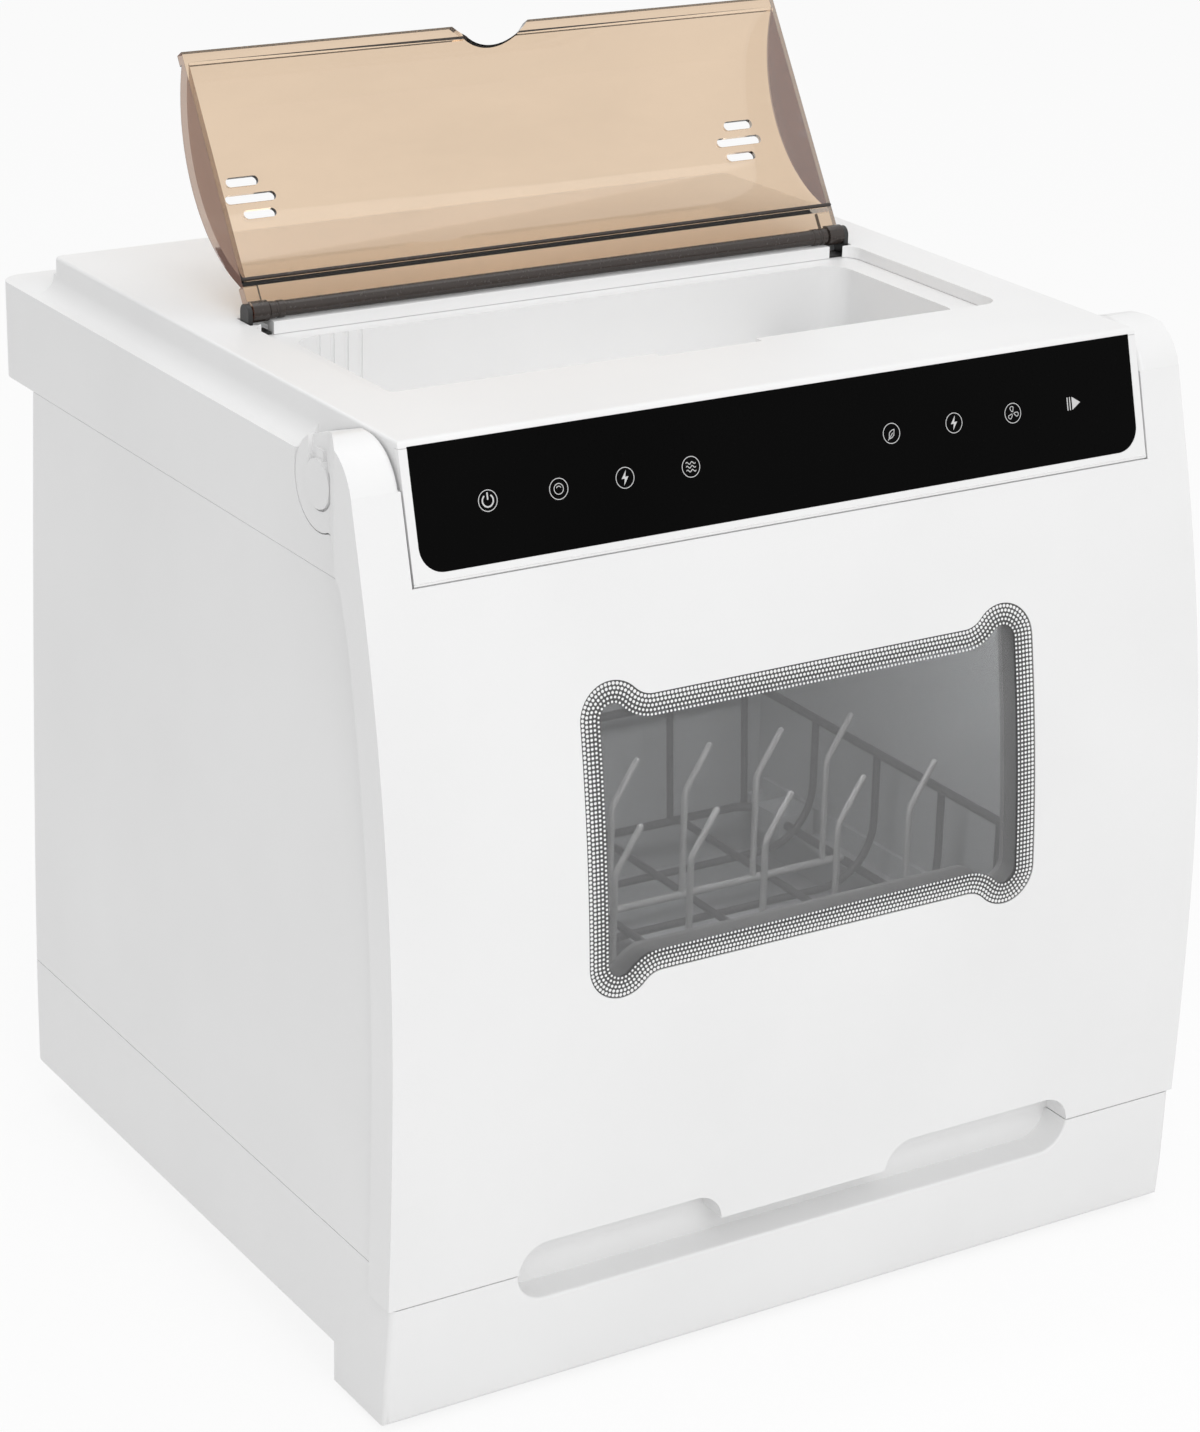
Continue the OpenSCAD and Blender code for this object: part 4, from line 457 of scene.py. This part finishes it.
# widths of the rounds: door, upper casing, tray and side walls
DOOR_ROUND, EAR_ROUND, LOWER_ROUND, OPENING_ROUND, REAR_ROUND = 3.2, 3.0, 0.7, 0.5, 1.0
LEDGE_ROUND, OVERHANG_ROUND, DECK_ROUND, FILL_ROUND, DECK_FRONT_ROUND = 2.2, 1.5, 1.6, 1.2, 0.9
CORNER_ROUND, GRIP_ROUND, FLOOR_ROUND, PLINTH_ROUND = 3.0, 5.0, 0.8, 0.5
SEAM_ROUND, WALL_ROUND = 0.3, 0.9


def soften_ears(bm, radius=26.0, steps=14):
    """Planes a wide round into the top corners of the arms, where the front turns into the top."""
    cz = DECK - radius
    cy = LEAN_Y + (radius + math.sin(LEAN) * (cz - LEAN_Z)) / math.cos(LEAN)
    for i in range(1, steps):
        a = LEAN + (math.pi / 2 - LEAN) * i / steps
        out = Vector((0, -math.cos(a), math.sin(a)))
        cut = bmesh.ops.bisect_plane(
            bm, geom=bm.verts[:] + bm.edges[:] + bm.faces[:], dist=1e-5,
            plane_co=Vector((0, cy, cz)) + out * radius, plane_no=out, clear_outer=True)
        rim = [g for g in cut["geom_cut"] if isinstance(g, bmesh.types.BMEdge)]
        bmesh.ops.holes_fill(bm, edges=[g for g in rim if len(g.link_faces) == 1], sides=0)


def door_side(p):
    """Whether a point lies on the door's side faces, away from its pivots."""
    return abs(p.x) > SIDE_X and not (p.z < PIV_Z + PIVOT_ROOM
                                      and math.hypot(p.y - PIV_Y, p.z - PIV_Z) < PIVOT_ROOM)


def shape_door(bm):
    """Wide rounds down the sides and over the ears, fine ones at the lower edge and the openings."""
    soften_ears(bm)
    in_ear = lambda p: p.z > LEAN_Z - 1
    side_front = lambda p: door_side(p) and on_front(p)
    round_edges(bm, both(side_front, lambda a, b: not (in_ear(a) and in_ear(b)) and rises(a, b)),
                DOOR_ROUND, 4)
    side_ear = lambda p: door_side(p) and in_ear(p)
    round_edges(bm, both(side_ear, lambda a, b: min(a.y, b.y) < EAR_OUT_Y
                         and not (a.y > front_y(a.z) + 12 and a.z < DECK - 22)), DOOR_ROUND, 4)
    ear_inside = lambda p: (abs(abs(p.x) - EAR_HALF) < 0.2 and p.z > LEAN_Z + 0.3 and p.y < EAR_IN_Y
                            and (on_front(p, 14) or p.z > DECK - 1))
    round_edges(bm, both(ear_inside), EAR_ROUND, 3)
    lower_edge = lambda p: on_front(p) and p.z < TRAY_TOP + 2
    round_edges(bm, both(lower_edge), LOWER_ROUND, 2)
    opening = lambda p: on_front(p) and abs(p.x) < OPENING_X and OPENING_Z0 < p.z < LEAN_Z + 0.2
    round_edges(bm, both(opening), OPENING_ROUND, 2)
    rear = lambda p: door_side(p) and abs(p.y - front_y(p.z) - DOOR_D) < 0.4 and REAR_Z0 < p.z < LEAN_Z
    round_edges(bm, both(rear, rises), REAR_ROUND, 2)


def outer(p):
    """Whether a point lies near the sides or the rear of the upper casing."""
    return abs(p.x) > SEAM_HALF - CORNER_ROOM or p.y > BACK_Y - CORNER_ROOM


def shape_housing(bm):
    """Rounds along the ledge, the overhang, the deck and the fill opening."""
    round_edges(bm, both(lambda p: outer(p) and at_height(LEDGE)(p)), LEDGE_ROUND, 3)
    round_edges(bm, both(lambda p: outer(p) and p.y > CASE_D + 2 and p.z < SEAM - 7), OVERHANG_ROUND, 2)
    rim = at_height(DECK)
    deck_side = lambda p: rim(p) and abs(abs(p.x) - DECK_HALF) < 0.2
    deck_rear = lambda p: rim(p) and p.y > CASE_D - 5
    round_edges(bm, lambda a, b: both(deck_side)(a, b) or both(deck_rear)(a, b), DECK_ROUND, 3)
    round_edges(bm, both(rim, lambda a, b: FILL_Y0 < a.y < FILL_Y1 and FILL_Y0 < b.y < FILL_Y1
                         and abs(a.x) < FILL_X), FILL_ROUND, 3)
    round_edges(bm, both(lambda p: rim(p) and p.y < DECK_FRONT_Y, lambda a, b: abs(a.x - b.x) > 1),
                DECK_FRONT_ROUND, 3)


def shape_tray(bm):
    """Rounds at the plinth's front corners, the finger recess, the floor line and the upper edge."""
    round_edges(bm, both(lambda p: on_front(p) and abs(p.x) > BODY_W / 2 - 6), CORNER_ROUND, 4)
    recess = lambda p: near_front(p) and abs(p.x) < GRIP_X and GRIP_Z0 < p.z < PLINTH_TOP + 0.1
    round_edges(bm, both(recess, lambda a, b: min(a.z, b.z) < PLINTH_TOP - 1), GRIP_ROUND, 6)
    round_edges(bm, both(lambda p: on_front(p, 3.5) and p.z < GAP_Z + 0.2), FLOOR_ROUND, 2)
    round_edges(bm, both(lambda p: near_front(p) and at_height(PLINTH_TOP)(p)), PLINTH_ROUND, 2)


def shape_casing(bm):
    """Fine rounds along the seams above and below the side walls and behind the door."""
    round_edges(bm, lambda a, b: abs(a.z - b.z) < 0.1 and (a.z > SEAM - 0.5 or a.z < TRAY_TOP + 0.5)
                and (abs(a.x) > SEAM_HALF - CORNER_ROOM or a.y > CASE_D - 0.1), SEAM_ROUND, 2)
    behind_door = lambda p: abs(p.x) > SEAM_HALF - 1 and abs(p.y - front_y(p.z) - DOOR_D - DOOR_GAP) < 0.4
    round_edges(bm, both(behind_door, rises), WALL_ROUND, 2)


for skin, node_name, body, shape in (
        ("door_skin", "door_shell", "door", shape_door),
        ("housing_skin", "top_housing", "machine", shape_housing),
        ("tray_skin", "base_tray", "machine", shape_tray),
        ("casing_skin", "lower_casing", "machine", shape_casing),
        ("fascia_skin", "control_fascia", "machine", None),
        ("hopper_skin", "fill_hopper", "machine", None)):
    shell = cad_mesh(node_name)
    if shape:
        shape(shell)
    to_metres(shell)
    new_piece(skin, shell, body, "white_shell", stands_for=[node_name])


# ---------------------------------------------------------------- wire rack
# half its width, front, rear, height of its base and of its rail above that, and radius of its wires
RACK_HALF, RACK_Y0, RACK_Y1, RACK_Z, RAIL_UP, WIRE_R = 142, 46, 254, 128, 62, 2.2
# tines: radius, height, length and lean of the bent end, number in a row, and the rows' places
TINE_R, TINE_H, TINE_BEND, TINE_LEAN, TINE_COUNT = 1.6, 78, 21, 13, 7
TINE_ROWS = (RACK_Y0 + 50, RACK_Y0 + 118)
# numbers of wires
LONG_WIRES, CROSS_WIRES, UPRIGHTS = 5, 4, 7
# bends of the base, of the cross wires, of the upper rail and of the tines
BASE_BEND, CROSS_BEND, RAIL_BEND, TINE_TURN = 12, 30, 10, 9
# how much thinner the inner wires and the uprights are
INNER_LESS, UPRIGHT_LESS = 0.3, 0.4


def rounded(points, radius, closed=False, steps=8):
    """A path with its corners turned into bends of a radius."""
    pts = [Vector(p) for p in points]
    n = len(pts)
    path = []
    for i, p in enumerate(pts):
        if not closed and i in (0, n - 1):
            path.append(p)
            continue
        a, b = (pts[i - 1] - p).normalized(), (pts[(i + 1) % n] - p).normalized()
        half = a.angle(b) / 2
        middle = p + (a + b).normalized() * (radius / math.sin(half))
        start, stop = p + a * (radius / math.tan(half)), p + b * (radius / math.tan(half))
        axis, angle = (start - middle).rotation_difference(stop - middle).to_axis_angle()
        path += [middle + Matrix.Rotation(angle * k / steps, 3, axis) @ (start - middle)
                 for k in range(steps + 1)]
    return path


def directions(path, closed):
    """The direction of a path at each of its points."""
    n = len(path)
    if closed:
        ahead = [path[(i + 1) % n] - path[i - 1] for i in range(n)]
    else:
        inner = [path[i + 1] - path[i - 1] for i in range(1, n - 1)]
        ahead = [path[1] - path[0], *inner, path[-1] - path[-2]]
    return [a.normalized() for a in ahead]


def tube(bm, path, radius, closed=False, sides=12):
    """Adds a round wire along a path in mm: a closed loop, or a wire with rounded ends."""
    ahead = directions(path, closed)
    across = ahead[0].orthogonal().normalized()
    stations = []
    for i, p in enumerate(path):
        if i:
            across = ahead[i - 1].rotation_difference(ahead[i]) @ across
        stations.append((p, ahead[i], across.copy(), radius))
    if not closed:
        for end, sign in ((0, -1), (-1, 1)):
            p, a, c, _ = stations[end]
            dome = [(p + a * sign * radius * math.sin(t), a, c, radius * math.cos(t))
                    for t in (0.45, 0.9, 1.3)]
            stations = dome[::-1] + stations if end == 0 else stations + dome
    rings = []
    for p, a, c, r in stations:
        side = a.cross(c)
        rings.append([bm.verts.new(mm(*(p + (c * math.cos(t) + side * math.sin(t)) * r)))
                      for t in (2 * math.pi * k / sides for k in range(sides))])
    for low, high in zip(rings, rings[1:]):
        join_rings(bm, low, high)
    if closed:
        # the last ring meets the first with the turn that keeps their facets in line
        join_rings(bm, rings[-1], rings[0],
                   min(range(sides), key=lambda s: (rings[0][s].co - rings[-1][0].co).length))
    else:
        bm.faces.new(reversed(rings[0]))
        bm.faces.new(rings[-1])


def join_rings(bm, low, high, turn=0):
    """Adds the faces between two rings of points, the second one turned by some steps."""
    n = len(low)
    for i in range(n):
        j = (i + 1) % n
        bm.faces.new((low[i], low[j], high[(j + turn) % n], high[(i + turn) % n]))


def make_rack():
    bm = bmesh.new()
    half, y0, y1, top = RACK_HALF - 4, RACK_Y0 + 4, RACK_Y1 - 4, RACK_Z + RAIL_UP
    # frame of the base, and the wires along it
    base = [(-half, y0, RACK_Z), (half, y0, RACK_Z), (half, y1, RACK_Z), (-half, y1, RACK_Z)]
    tube(bm, rounded(base, BASE_BEND, True), WIRE_R, True)
    for i in range(LONG_WIRES):
        x = RACK_HALF * ((i + 1) / 3 - 1)
        tube(bm, [Vector((x, y, RACK_Z)) for y in (y0, (y0 + y1) / 2, y1)], WIRE_R - INNER_LESS)
    # cross wires, turned up at both sides
    for i in range(CROSS_WIRES):
        y = max(y0 + 3, RACK_Y0 + (RACK_Y1 - RACK_Y0) * i / CROSS_WIRES)
        tube(bm, rounded([(-RACK_HALF, y, top), (-RACK_HALF, y, RACK_Z - 3), (RACK_HALF, y, RACK_Z - 3),
                          (RACK_HALF, y, top)], CROSS_BEND), WIRE_R - INNER_LESS)
    # upper rail round the sides and the rear, and the rear uprights
    tube(bm, rounded([(-RACK_HALF, y0, top), (-RACK_HALF, RACK_Y1, top), (RACK_HALF, RACK_Y1, top),
                      (RACK_HALF, y0, top)], RAIL_BEND), WIRE_R)
    for i in range(UPRIGHTS):
        x = -RACK_HALF + 8 + (2 * RACK_HALF - 16) * i / (UPRIGHTS - 1)
        tube(bm, [Vector((x, y1, RACK_Z)), Vector((x, RACK_Y1 - 0.5, top))], WIRE_R - UPRIGHT_LESS)
    new_piece("rack_wires", bm, "rack", "coated_wire",
              stands_for=["rack_frame", "rack_rail", "rack_sides"])


def make_tines():
    """Rows of upright tines with bent ends; the first two of the front row lean outwards."""
    bm = bmesh.new()
    for y in TINE_ROWS:
        tube(bm, [Vector((x, y, RACK_Z + 4)) for x in (9 - RACK_HALF, 0, RACK_HALF - 9)], TINE_R + 0.4)
        for i in range(TINE_COUNT):
            x = -RACK_HALF + 20 + (2 * RACK_HALF - 40) * i / (TINE_COUNT - 1)
            side = -1 if y == TINE_ROWS[0] and i < 2 else 1
            tube(bm, rounded([(x, y, RACK_Z + 4), (x, y, RACK_Z + TINE_H - TINE_BEND),
                              (x + side * TINE_LEAN, y, RACK_Z + TINE_H)], TINE_TURN), TINE_R, sides=10)
    new_piece("rack_tine_wires", bm, "rack", "pale_wire", stands_for=["rack_tines"])


make_rack()
make_tines()


# ---------------------------------------------------------------- touch symbols of the panel
# places across the panel and up its slope, size, and thickness of the ink with the depth it is printed in
TOUCH_X = (-148, -115, -83.5, -51.5, 50, 83, 114.7, 148)
TOUCH_UP, TOUCH_SIZE, INK, INK_DEPTH = 29.2, 0.84, 0.12, 0.03
# widths of the drawn lines, and radius of the ring round a symbol
HEAVY, BAR, LINE, FINE, RING_R = 0.75, 0.6, 0.38, 0.36, 5.1


def ribbon(bm, points, width, closed=False):
    """Adds a flat line of a width to a mesh, in the plane of the panel: points in mm about the symbol."""
    pts = [Vector(p) for p in points]
    n = len(pts)
    sides = []
    for i, p in enumerate(pts):
        before = pts[i - 1] if i or closed else p
        after = pts[(i + 1) % n] if i < n - 1 or closed else p
        a, b = (p - before), (after - p)
        a = a.normalized() if a.length else b.normalized()
        b = b.normalized() if b.length else a
        ahead = (a + b).normalized() if (a + b).length > 1e-6 else a
        out = Vector((-ahead.y, ahead.x)) * (width / 2) / max(0.5, ahead.dot(a))
        sides.append((p + out, p - out))
    vs = [(bm.verts.new((*l, 0)), bm.verts.new((*r, 0))) for l, r in sides]
    for i in range(n if closed else n - 1):
        (a, b), (c, d) = vs[i], vs[(i + 1) % n]
        bm.faces.new((a, b, d, c))


def filled(bm, points):
    bm.faces.new([bm.verts.new((x, y, 0)) for x, y in points])


def arc(r, a0, a1, cx=0.0, cy=0.0, steps=20):
    """Points of an arc between two angles in degrees."""
    return [(cx + r * math.cos(math.radians(a0 + (a1 - a0) * i / steps)),
             cy + r * math.sin(math.radians(a0 + (a1 - a0) * i / steps))) for i in range(steps + 1)]


def ring(bm, width=FINE):
    ribbon(bm, arc(RING_R, 0, 350, steps=35), width, closed=True)


def power_symbol(bm):
    ribbon(bm, arc(3.0, 125, 415), HEAVY)
    ribbon(bm, [(0, 0.4), (0, 4.0)], HEAVY)
    ring(bm, LINE)


def dish_symbol(bm):
    ring(bm)
    ribbon(bm, arc(2.6, 0, 348, steps=29), LINE, closed=True)
    ribbon(bm, arc(1.3, 20, 160, steps=8), FINE)


def bolt_symbol(bm):
    ring(bm)
    filled(bm, [(0.9, 3.7), (-2.0, -0.4), (-0.2, -0.4), (-0.9, -3.7), (2.0, 0.5), (0.2, 0.5)])


def wave_symbol(bm):
    ring(bm)
    for up in (-1.9, 0, 1.9):
        ribbon(bm, [(x / 5, up + 0.55 * math.sin(x / 5 * 2.2)) for x in range(-14, 15)], LINE)


def leaf_symbol(bm):
    ring(bm)
    ribbon(bm, [*arc(4.2, 140, 92, 1.9, -2.4, 10), *arc(4.2, -40, -88, -1.9, 1.6, 10)], LINE, closed=True)
    ribbon(bm, [(-2.4, -3.3), (0.8, 0.2)], FINE)


def fan_symbol(bm):
    ring(bm)
    blade = [(0.7, 0), *arc(1.2, -60, 80, 2.3, 0.5, 8), (1.0, 0.8)]
    for i in range(3):
        a = math.radians(120 * i + 90)
        across, up = math.cos(a), math.sin(a)
        ribbon(bm, [(x * across - y * up, x * up + y * across) for x, y in blade], FINE, closed=True)


def play_symbol(bm):
    for x in (-3.9, -2.3):
        ribbon(bm, [(x, 3.4), (x, -3.4)], BAR)
    filled(bm, [(-1.0, 3.4), (-1.0, -3.4), (4.4, 0)])


SYMBOLS = (power_symbol, dish_symbol, bolt_symbol, wave_symbol,
           leaf_symbol, bolt_symbol, fan_symbol, play_symbol)


def make_symbols():
    """Printed symbols: each a thin closed skin of ink on the glossy panel."""
    for i, (x, draw) in enumerate(zip(TOUCH_X, SYMBOLS)):
        flat = bmesh.new()
        draw(flat)
        top = bmesh.ops.extrude_face_region(flat, geom=flat.faces[:])["geom"]
        for v in (g for g in top if isinstance(g, bmesh.types.BMVert)):
            v.co.z = INK
        for v in flat.verts:
            v.co = Vector(slope(x + v.co.x * TOUCH_SIZE, TOUCH_UP + v.co.y * TOUCH_SIZE,
                                v.co.z - INK / 2 - INK_DEPTH))
        new_piece(f"touch_symbol_{i + 1}", flat, "machine", "symbol_ink", weighted=False)


make_symbols()


# ---------------------------------------------------------------- printed dots round the window
# window: half its width, its heights, radius of the corner lobes, how far they stand out, and their fillets
WIN_HALF, WIN_Z0, WIN_Z1, LOBE_R, LOBE_OUT, LOBE_FILLET = 116, 189.5, 309.5, 16, 8.5, 12
# dots: rows, pitch, radius, thickness, depth they are printed in, and the first row's place off the outline
DOT_ROWS, DOT_PITCH, DOT_R, DOT_T, DOT_DEPTH, DOT_FROM = 5, 1.9, 0.72, 0.1, 0.42, -8.9


def window_path(grow):
    """The window's outline moved outwards: a quarter as points of x and z from its middle, then mirrored."""
    mid_z, half_z = (WIN_Z0 + WIN_Z1) / 2, (WIN_Z1 - WIN_Z0) / 2
    cx, cz = WIN_HALF - LOBE_R, half_z - LOBE_R + LOBE_OUT
    dz = LOBE_R - LOBE_OUT + LOBE_FILLET
    dx = math.sqrt((LOBE_R + LOBE_FILLET) ** 2 - dz ** 2)
    turn = math.degrees(math.atan2(dz, -dx))
    lobe = arc(LOBE_R + grow, 0, turn, cx, cz, 24)
    hollow = arc(LOBE_FILLET - grow, turn - 180, -90, cx - dx, cz + dz, 10)
    quarter = [(WIN_HALF + grow, 0), *lobe, *hollow, (0, half_z + grow)]
    loop = quarter + [(-x, z) for x, z in reversed(quarter[:-1])]
    loop += [(x, -z) for x, z in reversed(loop[1:-1])]
    return [Vector((x, z + mid_z)) for x, z in loop]


def along(points, pitch):
    """Evenly spaced points on a closed line."""
    ends = points[1:] + points[:1]
    total = sum((b - a).length for a, b in zip(points, ends))
    step, left = total / round(total / pitch), 0.0
    for a, b in zip(points, ends):
        length = (b - a).length
        while left < length - 1e-6:
            yield a.lerp(b, left / length)
            left += step
        left -= length


def make_dots():
    """Rows of small printed dots that grow from the glass outwards, each a thin closed disc."""
    bm = bmesh.new()
    sides = 8
    for row in range(DOT_ROWS):
        radius = DOT_R * (0.78 + 0.3 * row / (DOT_ROWS - 1))
        for spot in along(window_path(DOT_FROM + DOT_PITCH * row), DOT_PITCH):
            low, high = ([bm.verts.new(front(spot.x + radius * math.cos(2 * math.pi * i / sides),
                                             spot.y + radius * math.sin(2 * math.pi * i / sides), out))
                          for i in range(sides)] for out in (-DOT_DEPTH, DOT_T - DOT_DEPTH))
            bm.faces.new(low)
            bm.faces.new(reversed(high))
            join_rings(bm, high, low)
    new_piece("window_dots", bm, "door", "dot_ink", weighted=False)


make_dots()


# ---------------------------------------------------------------- lid
# hinge, length, half its width, wall, lean of the open lid, and radius of its own barrel
LID_Y, LID_Z, LID_LEN, LID_HALF, LID_WALL, LID_BACK = 221.5, DECK + 4, 120.5, 156.4, 2.2, math.radians(32)
BARREL_R = 3.4
# dark barrel over it: end, and radii of its body and of its collars
BARREL_END, BARREL_BODY, COLLAR_R = LID_HALF - 8.4, 3.55, 3.9
# dark bead: length along the lid from the hinge, how far it lies behind it, and its radii
BEAD_UP, BEAD_BACK, BEAD_TIP, BEAD_R = 14.8, 0.5, 0.5, 0.9


def lid_turn(x, y, z):
    """A source direction in the lid's own: across, along from the hinge, and out of its hollow side."""
    return Vector((x, y * math.sin(LID_BACK) + z * math.cos(LID_BACK),
                   z * math.sin(LID_BACK) - y * math.cos(LID_BACK)))


def lid_place(p):
    """Where a source point lies in the lid."""
    return lid_turn(p.x, p.y - LID_Y, p.z - LID_Z)


def turned(bm, profile, centre, steps=32):
    """Adds a closed turned body about a line along x: profile is a list of (x, radius)."""
    rings = [[bm.verts.new(mm(x, centre[0] + r * math.cos(2 * math.pi * i / steps),
                              centre[1] + r * math.sin(2 * math.pi * i / steps))) for i in range(steps)]
             for x, r in profile]
    bm.faces.new(rings[0])
    bm.faces.new(reversed(rings[-1]))
    for low, high in zip(rings, rings[1:]):
        join_rings(bm, low, high)


def make_lid():
    """Smoked lid with softened edges, dark where it is seen edge on and brown at its cheeks."""
    bm = cad_mesh("lid_shell", 0.6)
    rim = lambda p: (abs(lid_place(p).z) < 0.3
                     and (abs(p.x) > LID_HALF - 0.1 or lid_place(p).y > LID_LEN - 0.3))
    round_edges(bm, both(rim), 0.5, 2)
    corner = lambda p: abs(p.x) > LID_HALF - 0.1 and lid_place(p).z < -3 and lid_place(p).y > 8
    round_edges(bm, both(corner), 0.9, 3)
    bm.normal_update()
    for face in bm.faces:
        mid, n = lid_place(face.calc_center_median()), lid_turn(*face.normal)
        in_barrel = math.hypot(mid.y, mid.z) < BARREL_R + 1.6
        on_rim = mid.z > -0.6 and n.z > 0.5 and (mid.y > LID_LEN - 6 or abs(mid.x) > LID_HALF - 3)
        if in_barrel or on_rim or mid.y > LID_LEN - 1:
            face.material_index = 1
        elif abs(mid.x) > LID_HALF - LID_WALL - 0.3 and abs(n.x) > 0.8:
            face.material_index = 2
    to_metres(bm)
    obj = new_piece("lid_skin", bm, "lid", "smoked_lid", stands_for=["lid_shell"])
    obj.data.materials.append(MAT["lid_edge"])
    obj.data.materials.append(MAT["lid_cheek"])


def make_barrel():
    """Dark hinge barrel along the lid's lower edge with two collars at each end, and the dark bead."""
    bm = bmesh.new()
    half = [(BARREL_END - inwards, radius) for inwards, radius in (
        (0, BARREL_BODY), (0.4, COLLAR_R), (3, COLLAR_R), (3.4, BARREL_BODY),
        (4.4, BARREL_BODY), (4.8, COLLAR_R), (7.6, COLLAR_R), (8, BARREL_BODY))]
    turned(bm, half + [(-x, r) for x, r in reversed(half)], (LID_Y, LID_Z))
    bead_y = LID_Y + BEAD_UP * math.sin(LID_BACK) - BEAD_BACK * math.cos(LID_BACK)
    bead_z = LID_Z + BEAD_UP * math.cos(LID_BACK) + BEAD_BACK * math.sin(LID_BACK)
    reach = LID_HALF - 0.4
    turned(bm, [(-reach, BEAD_TIP), (-reach + 0.5, BEAD_R), (reach - 0.5, BEAD_R), (reach, BEAD_TIP)],
           (bead_y, bead_z), 16)
    new_piece("lid_barrel", bm, "lid", "lid_edge")


make_lid()
make_barrel()
